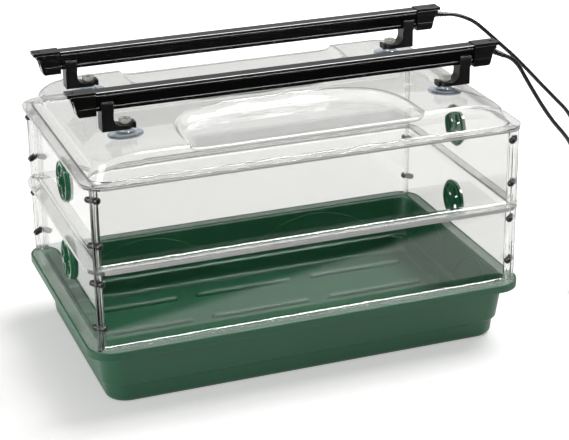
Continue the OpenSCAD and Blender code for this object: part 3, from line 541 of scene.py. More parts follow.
def from_faces(name: str, points: Sequence[Point], faces: Sequence[Sequence[int]]) -> Piece:
    """Make an object from points in millimetres, with its faces turned outwards.

    Args:
        name: the object's name.
        points: its points, in millimetres.
        faces: its faces, by point number.

    Returns:
        The new object.
    """
    mesh = bpy.data.meshes.new(name)
    mesh.from_pydata(metres(points), [], faces)
    with editing(mesh) as sheet:
        bmesh.ops.remove_doubles(sheet, verts=sheet.verts, dist=MERGE)
        bmesh.ops.recalc_face_normals(sheet, faces=sheet.faces)
    return new_object(name, mesh)


def settle(made: Piece) -> None:
    """Turn an object's modifiers into plain mesh.

    Args:
        made: the object.
    """
    graph = bpy.context.evaluated_depsgraph_get()
    plain = bpy.data.meshes.new_from_object(made.evaluated_get(graph), preserve_all_data_layers=True,
                                            depsgraph=graph)
    old = made.data
    made.modifiers.clear()
    made.data = plain
    plain.name = made.name
    if old.users == 0:
        bpy.data.meshes.remove(old)


def discard(*gone: Piece) -> None:
    """Remove helper objects and their meshes.

    Args:
        *gone: the objects.
    """
    for made in gone:
        mesh = made.data
        bpy.data.objects.remove(made)
        if mesh.users == 0:
            bpy.data.meshes.remove(mesh)


def smooth(made: Piece, angle: float, bevel: float = 0.0, segments: int = 2) -> Piece:
    """Round the edges of a piece and set smooth normals that keep its flat faces flat.

    Args:
        made: the object.
        angle: edges sharper than this stay sharp, or are rounded, in degrees.
        bevel: width of the rounding in millimetres; 0 leaves the edges.
        segments: steps in the rounding.

    Returns:
        The same object.
    """
    if bevel:
        round_off = made.modifiers.new("round", "BEVEL")
        round_off.width = bevel * MM
        round_off.segments = segments
        round_off.limit_method = "ANGLE"
        round_off.angle_limit = math.radians(angle)
        round_off.miter_outer = "MITER_ARC"
        settle(made)
    made.data.polygons.foreach_set("use_smooth", [True] * len(made.data.polygons))
    made.data.set_sharp_from_angle(angle=math.radians(angle))
    made.modifiers.new("weigh", "WEIGHTED_NORMAL").keep_sharp = True
    settle(made)
    return made


def cad_copy(node: str, name: str, bevel: float, angle: float, segments: int = 2,
             lifted: bool = False) -> Piece:
    """Copy a node's mesh, merge it and round its edges.

    Args:
        node: the node.
        name: the new piece's name.
        bevel: width of the rounding in millimetres.
        angle: edges sharper than this are rounded, in degrees.
        segments: steps in the rounding.
        lifted: lifts the underside by the film of air.

    Returns:
        The new piece.
    """
    mesh = bpy.data.meshes.new(name)
    with editing(mesh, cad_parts[node].data) as sheet:
        bmesh.ops.remove_doubles(sheet, verts=sheet.verts, dist=MERGE)
        if lifted:
            seat = min(v.co.z for v in sheet.verts) + AIR * MM
            for v in sheet.verts:
                v.co.z = max(seat, v.co.z)
        bmesh.ops.dissolve_limit(sheet, angle_limit=math.radians(FLAT), verts=sheet.verts, edges=sheet.edges)
    return smooth(new_object(name, mesh), angle, bevel, segments)


def cut(target: Piece, *tools: Piece) -> Piece:
    """Cut tools out of a target and remove the tools.

    Args:
        target: the object that stays.
        *tools: the objects that cut it.

    Returns:
        The target.
    """
    for tool in tools:
        step = target.modifiers.new("cut", "BOOLEAN")
        step.operation = "DIFFERENCE"
        step.solver = "EXACT"
        step.object = tool
        settle(target)
    discard(*tools)
    return target


def soften(points: Sequence[Sequence[float]], cuts: Sequence[float],
           steps: int = 4) -> list[tuple[float, ...]]:
    """Round the corners of an open line.

    Args:
        points: the line's points, of any number of values.
        cuts: how far each corner is cut back along its two sides; 0 keeps it sharp.
        steps: steps in each rounding.

    Returns:
        The rounded line.
    """
    made: list[tuple[float, ...]] = []
    for i, (here, back) in enumerate(zip(points, cuts)):
        v = Vector(here)
        if back <= 0 or i in (0, len(points) - 1):
            made.append(tuple(v))
            continue
        to_last, to_next = Vector(points[i - 1]) - v, Vector(points[i + 1]) - v
        a = v + to_last * min(0.5, back / to_last.length)
        b = v + to_next * min(0.5, back / to_next.length)
        for k in range(steps + 1):
            t = k / steps
            made.append(tuple(a * (1 - t) ** 2 + v * 2 * t * (1 - t) + b * t * t))
    return made


def rounded_ring(width: float, depth: float, radius: float, z: float, steps: int = 10,
                 side: Sequence[float] = ()) -> list[Point]:
    """Give a rounded rectangle, anticlockwise from above.

    Args:
        width: its width.
        depth: its depth.
        radius: its corner radius.
        z: its height.
        steps: steps in each corner.
        side: places of further points along the long sides, from right to left.

    Returns:
        Its points.
    """
    made = []
    for corner in range(4):
        sx = 1 if corner in (0, 3) else -1
        sy = 1 if corner < 2 else -1
        for i in range(steps + 1):
            a = math.radians(90 * corner + 90 * i / steps)
            made.append((sx * (width / 2 - radius) + radius * math.cos(a),
                         sy * (depth / 2 - radius) + radius * math.sin(a), z))
        if corner in (0, 2):
            made += [(sx * x, sx * depth / 2, z) for x in side]
    return made


def stitch(count: int, rings: int, around: bool, along: bool) -> list[Sequence[int]]:
    """Give the faces between rings of points.

    Args:
        count: points in a ring.
        rings: number of rings.
        around: joins each ring's last point to its first.
        along: joins the last ring to the first.

    Returns:
        The faces, by point number.
    """
    faces: list[Sequence[int]] = []
    for j in range(rings if along else rings - 1):
        low, high = j * count, (j + 1) % rings * count
        for i in range(count if around else count - 1):
            k = (i + 1) % count
            faces.append((low + i, low + k, high + k, high + i))
    return faces


def loft(name: str, rings: Sequence[Sequence[Point]], rows: bool = False) -> Piece:
    """Skin a stack of rings and cap both ends.

    Args:
        name: the object's name.
        rings: rings of equal length.
        rows: caps the ends by rows between two like halves instead of one face.

    Returns:
        The new object.
    """
    count = len(rings[0])
    faces = stitch(count, len(rings), True, False)
    for first in (0, (len(rings) - 1) * count):
        if rows:
            faces += [(first + i, first + i + 1, first + count - 2 - i, first + count - 1 - i)
                      for i in range(count // 2 - 1)]
            if count % 2:
                faces.append(tuple(first + count // 2 + i for i in (-1, 0, 1)))
        else:
            faces.append(tuple(range(first, first + count)))
    return from_faces(name, [p for ring in rings for p in ring], faces)


def lathe(name: str, profile: Profile, at: Matrix, steps: int,
          flute: Callable[[float, float, float], float] | None = None) -> Piece:
    """Turn a profile about Z.

    Args:
        name: the object's name.
        profile: radius and height, closed on the axis or on itself.
        at: place of the turned piece, in millimetres.
        steps: steps round the axis.
        flute: changes a radius by angle, radius and height.

    Returns:
        The new object.
    """
    closed = profile[0][0] > 0 and profile[-1][0] > 0
    points = []
    for i in range(steps):
        a = 2 * math.pi * i / steps
        for r, z in profile:
            r = flute(a, r, z) if flute else r
            points.append(tuple(at @ Vector((r * math.cos(a), r * math.sin(a), z))))
    made = from_faces(name, points, stitch(len(profile), steps, closed, True))
    with editing(made.data) as sheet:
        bmesh.ops.dissolve_degenerate(sheet, edges=sheet.edges, dist=MERGE / 2)
        bmesh.ops.recalc_face_normals(sheet, faces=sheet.faces)
    return made


def joined(name: str, pieces: Sequence[Piece]) -> Piece:
    """Join separate pieces into one object, with their own finishes.

    Args:
        name: the new object's name.
        pieces: the pieces, which are removed.

    Returns:
        The joined object.
    """
    finishes: list[bpy.types.Material] = []
    mesh = bpy.data.meshes.new(name)
    with editing(mesh) as sheet:
        for piece in pieces:
            start = len(sheet.faces)
            sheet.from_mesh(piece.data)
            material = piece.data.materials[0]
            if material not in finishes:
                finishes.append(material)
            sheet.faces.ensure_lookup_table()
            for face in sheet.faces[start:]:
                face.material_index = finishes.index(material)
    for material in finishes:
        mesh.materials.append(material)
    discard(*pieces)
    return new_object(name, mesh)


def dress(made: Piece, finish: str) -> Piece:
    """Give a piece one finish.

    Args:
        made: the piece.
        finish: the finish's key.

    Returns:
        The same piece.
    """
    made.data.materials.clear()
    made.data.materials.append(Finishes.get(finish))
    return made


def dress_some(made: Piece, finish: str, wanted: Callable[[Vector], bool]) -> None:
    """Give a further finish to some faces of a piece.

    Args:
        made: the piece.
        finish: the finish's key.
        wanted: tells from a face's centre, in millimetres, whether it gets the finish.
    """
    made.data.materials.append(Finishes.get(finish))
    for face in made.data.polygons:
        if wanted(face.center / MM):
            face.material_index = len(made.data.materials) - 1


def beyond(at: Vector, width: float, depth: float, inset: float) -> tuple[bool, bool]:
    """Tell along X and along Y whether a point lies within an inset of a rectangle's edge."""
    return abs(at.x) > width / 2 - inset, abs(at.y) > depth / 2 - inset


def enrol(made: Piece, body: str, slot: str, *nodes: str) -> None:
    """Hand a finished piece to the frame.

    Args:
        made: the piece.
        body: the body that carries it.
        slot: the record's material slot; not used.
        *nodes: nodes that it stands for.
    """
    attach(made, body)
    if nodes:
        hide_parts(*nodes)
    LOG.info("%s rides on %s, stands for %s", made.name, body, ", ".join(nodes) or "no node")


# Geometry Nodes


class Growers(Once):
    """Geometry trees for what repeats or follows a path."""

    @staticmethod
    def start(name: str, **inputs: str) -> tuple[NodeSheet, bpy.types.NodeOutputs, Node]:
        """Start a geometry tree that takes geometry and a finish.

        Args:
            name: the tree's name.
            **inputs: names and socket types of its other inputs.

        Returns:
            The tree's sheet, the sockets of its input node, and its output node.
        """
        sockets = {"Geometry": "Geometry", **inputs, "Finish": "Material"}
        opened = open_tree(name, "Geometry", sockets, {"Geometry": "Geometry"})
        opened[0].tree.is_modifier = True
        return opened

    @staticmethod
    def end(sheet: NodeSheet, finish: Socket, outs: Node, geometry: Socket) -> Tree:
        """End a tree in Realize Instances and Set Material.

        Args:
            sheet: the tree's sheet.
            finish: the socket with the finish.
            outs: its output node.
            geometry: the socket with the geometry.

        Returns:
            The tree.
        """
        real = sheet.add("GeometryNodeRealizeInstances", Geometry=geometry)
        dressed = sheet.add("GeometryNodeSetMaterial", Geometry=real.outputs[0], Material=finish)
        sheet.put(outs, "Geometry", dressed.outputs[0])
        return sheet.tree

    @classmethod
    def scatter(cls) -> Tree:
        """A template on every point, with its Z along the point's facing.

        Returns:
            The tree.
        """
        sheet, ins, outs = cls.start("scatter_on_points", Template="Object")
        template = sheet.add("GeometryNodeObjectInfo", Object=ins["Template"])
        facing = sheet.add("GeometryNodeInputNamedAttribute", {"data_type": "FLOAT_VECTOR"}, Name="facing")
        turn = sheet.add("FunctionNodeAlignRotationToVector", {"axis": "Z"},
                         Vector=facing.outputs["Attribute"])
        spread = sheet.add("GeometryNodeInstanceOnPoints", Points=ins["Geometry"],
                           Instance=template.outputs["Geometry"], Rotation=turn.outputs[0])
        return cls.end(sheet, ins["Finish"], outs, spread.outputs[0])

    @classmethod
    def sweep(cls) -> Tree:
        """A round bead along every run of edges.

        Returns:
            The tree.
        """
        sheet, ins, outs = cls.start("sweep_along_path", Radius="Float", Sides="Int")
        path = sheet.add("GeometryNodeMeshToCurve", Mesh=ins["Geometry"])
        section = sheet.add("GeometryNodeCurvePrimitiveCircle", Resolution=ins["Sides"], Radius=ins["Radius"])
        bead = sheet.add("GeometryNodeCurveToMesh", Curve=path.outputs[0], Profile_Curve=section.outputs[0],
                         Fill_Caps=True)
        return cls.end(sheet, ins["Finish"], outs, bead.outputs[0])

    @classmethod
    def ribbed(cls) -> Tree:
        """Rows of ribs joined to a shell.

        Returns:
            The tree.
        """
        sheet, ins, outs = cls.start("ribbed_floor", Template="Object", Columns="Int", Rows="Int",
                                     Length="Float", Depth="Float")
        template = sheet.add("GeometryNodeObjectInfo", Object=ins["Template"])
        grid = sheet.add("GeometryNodeMeshGrid", Size_X=ins["Length"], Size_Y=ins["Depth"],
                         Vertices_X=ins["Columns"], Vertices_Y=ins["Rows"])
        ribs = sheet.add("GeometryNodeInstanceOnPoints", Points=grid.outputs[0],
                         Instance=template.outputs["Geometry"])
        real = sheet.add("GeometryNodeRealizeInstances", Geometry=ribs.outputs[0])
        union = sheet.add("GeometryNodeMeshBoolean", {"operation": "UNION", "solver": "EXACT"})
        for solid in (ins["Geometry"], real.outputs[0]):
            sheet.put(union, "Mesh 2", solid)
        return cls.end(sheet, ins["Finish"], outs, union.outputs[0])


def grow(made: Piece, tree: str, **values: Any) -> Piece:
    """Run a geometry tree on an object and keep the result as plain mesh.

    Args:
        made: the object.
        tree: the tree's name.
        **values: the tree's inputs by name.

    Returns:
        The same object.
    """
    step = made.modifiers.new(tree, "NODES")
    step.node_group = Growers.get(tree)
    names = {item.name: item.identifier for item in step.node_group.interface.items_tree
             if item.item_type == "SOCKET" and item.in_out == "INPUT"}
    for key, value in values.items():
        step[names[key]] = value
    made.update_tag()
    bpy.context.view_layer.update()
    settle(made)
    return made


def scatter(name: str, template: Piece, points: Sequence[Point], facing: Sequence[Point],
            finish: str) -> Piece:
    """Set a template on points and remove the template.

    Args:
        name: the new object's name.
        template: what is set on each point.
        points: the points, in millimetres.
        facing: a direction for each point.
        finish: the finish's key.

    Returns:
        The new object.
    """
    mesh = bpy.data.meshes.new(name)
    mesh.from_pydata(metres(points), [], [])
    layer = mesh.attributes.new("facing", "FLOAT_VECTOR", "POINT")
    layer.data.foreach_set("vector", [c for f in facing for c in f])
    made = grow(new_object(name, mesh), "scatter", Template=template, Finish=Finishes.get(finish))
    discard(template)
    return made


def edge_path(name: str, runs: Iterable[Sequence[Point]]) -> Piece:
    """Make runs of edges.

    Args:
        name: the object's name.
        runs: open lines, in millimetres.

    Returns:
        The new object.
    """
    points: list[Point] = []
    edges: list[tuple[int, int]] = []
    for run in runs:
        start = len(points)
        points += metres(run)
        edges += [(i, i + 1) for i in range(start, len(points) - 1)]
    mesh = bpy.data.meshes.new(name)
    mesh.from_pydata(points, edges, [])
    return new_object(name, mesh)


# Sub-assemblies


@dataclass
class Tray:
    """Green growing tray with a lip, a stepped body, arched beads and ribs on its floor."""

    width: float = 606.0
    depth: float = 374.0
    height: float = 88.0
    lip_r: float = 33.0
    body_r: float = 27.0
    wall: float = 2.4
    seat_z: float = 85.0
    rib_length: float = 150.0
    rib_r: float = 6.5
    rib_h: float = 5.6
    rib_sunk: float = 0.6
    rib_columns: int = 3
    rib_rows: int = 4
    rib_pitch_x: float = 176.0
    rib_pitch_y: float = 76.0
    arch_top: float = 79.0
    arch_rise: float = 48.0
    arch_steps: int = 32
    bead_r: float = 0.9
    bead_inset: float = 17.6
    bead_z: float = 84.0
    wall_lean: float = 0.104

    def shell(self) -> Piece:
        """Loft the tray's skin, from its underside over the lip to its floor.

        Returns:
            The shell.
        """
        w, body, lip = self.wall, self.body_r, self.lip_r
        inner = body - w
        # Inset, height and corner radius at each corner of the section
        line = [
            (120, 0.0, body), (26.7, 0, body), (25.2, 25, body), (21.4, 28, body), (15.5, 82.6, body),
            (w, 82.6, lip - w), (w, 77, lip - w), (0, 77, lip), (0, self.height, lip),
            (w, self.height, lip - w), (w, self.seat_z, lip - w), (17.2, self.seat_z, inner + 1),
            (23.8, 28, inner), (27.6, 25, inner), (29.1, w, inner), (120, w, inner),
        ]
        cuts = [0, 9, 1.2, 1.4, 2.2, 0.9, 0.6, 0.8, 1.1, 0.8, 0.8, 2.0, 2.2, 2.2, 9, 0]
        return loft("tray_shell", [rounded_ring(self.width - 2 * inset, self.depth - 2 * inset, r, z)
                                   for inset, z, r in soften(line, cuts)])

    def rib(self) -> Piece:
        """Make one rib, round-backed with round ends, its foot sunk into the floor.

        Returns:
            The rib.
        """
        run, r = self.rib_length / 2 - self.rib_r, self.rib_r
        middle, low = self.wall + self.rib_h - r, self.wall - self.rib_sunk
        steps = 6
        bow = [(-run - r * math.cos(math.pi / 2 * k / steps), r * math.sin(math.pi / 2 * k / steps))
               for k in range(1, steps + 1)]
        rings = []
        for x, s in bow + [(-x, s) for x, s in reversed(bow)]:
            back = [math.pi * k / (2 * steps) for k in range(2 * steps + 1)]
            arc = [(x, -s * math.cos(a), max(low, middle + s * math.sin(a))) for a in back]
            rings.append([(x, -s, low), *arc, (x, s, low)])
        return loft("rib", rings)

    def arches(self) -> Piece:
        """Sweep the thin raised arches inside the walls.

        Returns:
            The beads.
        """
        runs = []
        for centre, half, along_x in ((-132, 112, True), (132, 112, True), (-72, 62, False), (72, 62, False)):
            for side in (-1, 1):
                run = []
                for k in range(self.arch_steps + 1):
                    u = -1 + 2 * k / self.arch_steps
                    z = self.arch_top - self.arch_rise * u * u
                    # The walls lean in towards the floor
                    inset = self.bead_inset + (self.bead_z - z) * self.wall_lean
                    if along_x:
                        run.append((centre + half * u, side * (self.depth / 2 - inset), z))
                    else:
                        run.append((side * (self.width / 2 - inset), centre + half * u, z))
                runs.append(run)
        return smooth(grow(edge_path("tray_arches", runs), "sweep", Radius=self.bead_r * MM, Sides=8,
                           Finish=Finishes.get("tray")), 60)

    def build(self) -> None:
        """Make and hand over the tray."""
        rib = self.rib()
        shell = grow(self.shell(), "ribbed", Template=rib, Columns=self.rib_columns, Rows=self.rib_rows,
                     Length=(self.rib_columns - 1) * self.rib_pitch_x * MM,
                     Depth=(self.rib_rows - 1) * self.rib_pitch_y * MM, Finish=Finishes.get("tray"))
        discard(rib)
        shell.name = "tray_moulding"
        enrol(dress(smooth(shell, 40), "tray"), "tray", "tray", "tray")
        enrol(self.arches(), "tray", "tray")


@dataclass
class WallTier:
    """Four clear panels bent into flanges, with push rivets through their corner strips."""

    level: Level
    rim_w: float = RIM_W
    rim_d: float = RIM_D
    strip_mid: float = 20.09
    rivet_heights: tuple[float, float] = (33.0, 94.0)
    rivet_r: float = 3.0
    head_r: float = 4.6
    head_t: float = 7.0
    barrel: float = 10.0
    slit_share: float = 0.55
    turn_steps: int = 20
    grip: float = 2.1
    height: float = 112.0
    flange: float = 15.0
    flange_t: float = 4.0
    strip_in: float = 25.0
    lip: float = 2.0

    def on_flange(self, at: Vector) -> bool:
        """Tell whether a point is on a flange at the top or the bottom of a panel."""
        half = self.height / 2
        return (any(beyond(at, self.rim_w, self.rim_d, self.flange))
                and abs(at.z - self.level.value - half) > half - self.flange_t)

    def on_lip(self, at: Vector) -> bool:
        """Tell whether a point is on the outer edge of a flange."""
        return any(beyond(at, self.rim_w, self.rim_d, self.lip)) and self.on_flange(at)

    def on_strip(self, at: Vector) -> bool:
        """Tell whether a point is on the strips of a corner."""
        return all(beyond(at, self.rim_w, self.rim_d, self.strip_in))

    def rivet(self) -> Piece:
        """Turn one push rivet: domed head, shank and a spread barrel with two slits.

        Returns:
            The rivet.
        """
        g, r, head = self.grip, self.rivet_r, self.head_r
        top, low = g + self.head_t, -g - self.barrel
        spread = self.barrel * self.slit_share
        crown = head * 0.75
        profile = [(0, low), (r - 0.9, low), (r - 0.2, low + 0.5), (r + 0.7, low + 1.6),
                   (r + 1.3, -g - spread), (r + 1.3, -g - 0.3), (r + 1, -g), (r, -g), (r, g),
                   (head - 0.6, g), (head, g + 0.6)]
        profile += [(head * math.cos(math.radians(a)), top + crown * (math.sin(math.radians(a)) - 1))
                    for a in range(0, 90, 15)]
        body = lathe("rivet", profile + [(0, top)], Matrix(), self.turn_steps)
        slits = []
        for x, y in ((0.5, 6), (6, 0.5)):
            ring = [(-x, -y), (x, -y), (x, y), (-x, y)]
            slits.append(loft("slit", [[(*p, z) for p in ring] for z in (low - 1, low + spread)]))
        return cut(body, *slits)

    def build(self) -> None:
        """Dress the four panels and set the rivets."""
        label, body = self.level.label, self.level.tier
        for side in ("front", "rear", "left", "right"):
            node = f"{label}_{side}_panel"
            piece = dress(cad_copy(node, node + "_clear", 0.45, 30, lifted=True), "clear")
            # The rim and lip finishes paint a highlight onto the flanges and their outer edges
            for finish, wanted in (("strip", self.on_strip), ("rim", self.on_flange), ("lip", self.on_lip)):
                dress_some(piece, finish, wanted)
            enrol(piece, body, "clear_wall", node)
        points, facing = [], []
        reach = self.strip_mid / math.sqrt(2)
        x, y = self.rim_w / 2 - reach, self.rim_d / 2 - reach
        for sx in (-1, 1):
            for sy in (-1, 1):
                for z in self.rivet_heights:
                    points.append((sx * x, sy * y, self.level.value + z))
                    facing.append((-sx, sy, 0))
        rivets = scatter(label + "_push_rivets", self.rivet(), points, facing, "rivet")
        enrol(smooth(rivets, 40), body, "rivet", label + "_rivets")


@dataclass
class Vent:
    """Round vent in an end panel: fixed grille, turning shutter and centre pin."""

    level: Level
    end: End
    bevel: float = 0.35

    def build(self) -> None:
        """Dress the three pieces of the vent."""
        tier, stem = self.level.tier, f"{self.level.label}_{self.end.label}"
        for part, body in (("grille", tier), ("pin", tier), ("shutter", stem + "_shutter")):
            node = f"{stem}_vent_{part}"
            enrol(dress(cad_copy(node, node + "_moulding", self.bevel, 40), "vent"), body, "vent", node)


@dataclass
class Lid:
    """Clear lid with a top that falls at its ends, a rim flange and two hand scoops."""

    rim_w: float = RIM_W
    rim_d: float = RIM_D
    rim_r: float = 30.0
    side_r: float = 24.0
    low_z: float = 309.0 + AIR
    flange_w: float = 13.0
    flange_t: float = 2.6
    top_z: float = 343.5
    top_inset: float = 19.0
    edge_r: float = 8.0
    fall_length: float = 66.0
    fall_r: float = 160.0
    fall_steps: int = 8
    wall: float = 2.0
    scoop_half: float = 160.0
    scoop_length: float = 144.0
    scoop_depth: float = 16.0
    scoop_edge: float = 5.5
    scoop_power: float = 3.6
    scoop_wave: float = 1.6
    scoop_open: float = 16.0
    scoop_lip: float = 5.0
    scoop_inset: float = 19.5
    scoop_steps: int = 44
    # Reach of the painted highlight on the scoop edges
    edge_reach: float = 4.0
    edge_band: tuple[float, float] = (0.93, 1.1)
    edge_low: float = 2.6
    lip_low: float = 2.0
    # How far out each level of a scoop is drawn, and its share of the depth
    scoop_levels: tuple[tuple[float, float], ...] = (
        (6.5, -0.5), (1.2, 0.0), (0.5, 0.015), (0.0, 0.05), (-0.6, 0.12), (-1.4, 0.22), (-2.6, 0.36),
        (-4.2, 0.54), (-6.2, 0.71), (-9.0, 0.85), (-13.0, 0.94), (-18.0, 0.985), (-25.0, 1.0))

    def on_flange(self, at: Vector) -> bool:
        """Tell whether a point is on the rim flange."""
        return (any(beyond(at, self.rim_w, self.rim_d, self.flange_w))
                and at.z < self.low_z + self.flange_t + 0.2)

    def fall(self, x: float) -> float:
        """Give the fall of the lid's top at a place along the lid."""
        along = max(0.0, abs(x) - self.rim_w / 2 + self.top_inset + self.fall_length)
        return along * along / (2 * self.fall_r)

    def ring(self, inset: float, z: float, radius: float) -> list[Point]:
        """Give one outline of the lid, bent down at both ends.

        Args:
            inset: distance inside the rim.
            z: height before the fall.
            radius: corner radius.

        Returns:
            Its points.
        """
        low = self.low_z + self.flange_t
        share = min(1.0, max(0.0, (z - low) / (self.top_z - self.edge_r - low)))
        level = self.rim_w / 2 - self.top_inset - self.fall_length
        bend = (self.rim_w / 2 - inset - radius - level) / self.fall_steps
        right = [level + k * bend for k in range(self.fall_steps)]
        outline = rounded_ring(self.rim_w - 2 * inset, self.rim_d - 2 * inset, radius, z, 12,
                               right[::-1] + [-x for x in right])
        return [(x, y, h - share * self.fall(x)) for x, y, h in outline]

    def skin(self, inwards: float) -> Piece:
        """Loft the outside of the lid, or its inside where it is drawn inwards.

        Args:
            inwards: the thickness by which it is drawn in.

        Returns:
            The closed skin.
        """
        side = self.side_r - inwards
        top, low, high = self.top_z - inwards, self.low_z, self.low_z + self.flange_t
        inset, foot = self.top_inset + inwards, self.flange_w + inwards
        ends = [(foot, high, side), (inset, self.top_z - self.edge_r, side), (inset + 2, top, side),
                (inset + 11, top, side)]
        if inwards:
            line = soften([(foot, low - 1, side), *ends], [0, 1.5, 0, 6.5, 0], 6)
        else:
            rim = self.rim_r
            line = soften([(0, low, rim), (0, high, rim), *ends], [0, 0.7, 2.6, 0, 8.5, 0], 6)
            line[:1] = [(0.5, low, rim - 0.5), (0, low + 0.5, rim)]
        return loft("lid_skin", [self.ring(*at) for at in line], rows=True)

    def scoop(self, side: Side, grow_by: float) -> Piece:
        """Loft the form that presses a scoop into the lid.

        Args:
            side: the front or the rear scoop.
            grow_by: the thickness by which the form is grown.

        Returns:
            The closed form.
        """
        steps, power = self.scoop_steps, 2 / self.scoop_power
        depth_all = self.scoop_depth + grow_by
        slope = (self.scoop_depth - self.scoop_edge) / self.scoop_length
        front = self.rim_d / 2 - self.scoop_inset
        lip = self.scoop_lip - grow_by
        front_rows = [-self.scoop_open] + [grow_by + lip * k / 5 for k in range(6)]
        rings = []
        for grown, share in self.scoop_levels:
            a, b = self.scoop_half + grow_by + grown, self.scoop_length + grow_by + grown
            pressed = max(share, 0)
            right = [(a, y) for y in front_rows]
            for i in range(1, steps + 1):
                t = math.pi / 2 * i / steps
                x = a * math.cos(t) ** power if i < steps else 0.0
                wave = (math.cos(4 * math.pi * x / self.scoop_half) - 1) * math.sin(t) ** 4
                right.append((x, b * math.sin(t) ** power + self.scoop_wave * wave * pressed))
            ring = []
            for x, y in right + [(-x, y) for x, y in reversed(right[:-1])]:
                inside = min(lip, max(0.0, y - grow_by))
                rounding = lip - math.sqrt(lip * lip - (lip - inside) ** 2)
                deep = depth_all * share - pressed * (slope * (self.scoop_length - y) - rounding)
                ring.append((x, side.value * (front - y), self.top_z - deep))
            rings.append(ring)
        return loft("lid_scoop", rings, rows=True)

    def on_scoop_edge(self, at: Vector) -> bool:
        """Tell whether a point is on the rounded edge of a scoop.

        Args:
            at: the point, in millimetres.

        Returns:
            True on the edge.
        """
        half, length, power = self.scoop_half, self.scoop_length, self.scoop_power
        inwards = self.rim_d / 2 - self.top_inset - abs(at.y)
        lip_z = self.top_z - self.scoop_edge - self.scoop_lip
        if at.z < lip_z or inwards > length + self.edge_reach or abs(at.x) > half + self.edge_reach:
            return False
        if 0.2 < inwards < self.scoop_lip + 1 and abs(at.x) < half:
            return at.z < self.top_z - self.lip_low
        place = abs(at.x / half) ** power + abs(max(inwards, 0) / length) ** power
        return self.edge_band[0] < place < self.edge_band[1] and at.z > self.top_z - self.edge_low

    def build(self) -> None:
        """Press the scoops into both skins, hollow the lid and hand it over."""
        outside, inside = (cut(self.skin(t), self.scoop(Side.FRONT, t), self.scoop(Side.REAR, t))
                           for t in (0, self.wall))
        lid = cut(outside, inside)
        lid.name = "lid_clear"
        dress(smooth(lid, 38), "clear")
        # The rim and edge finishes paint a highlight onto the flange and the scoop edges
        dress_some(lid, "rim", self.on_flange)
        dress_some(lid, "edge", self.on_scoop_edge)
        enrol(lid, "lid", "clear_wall", "lid")


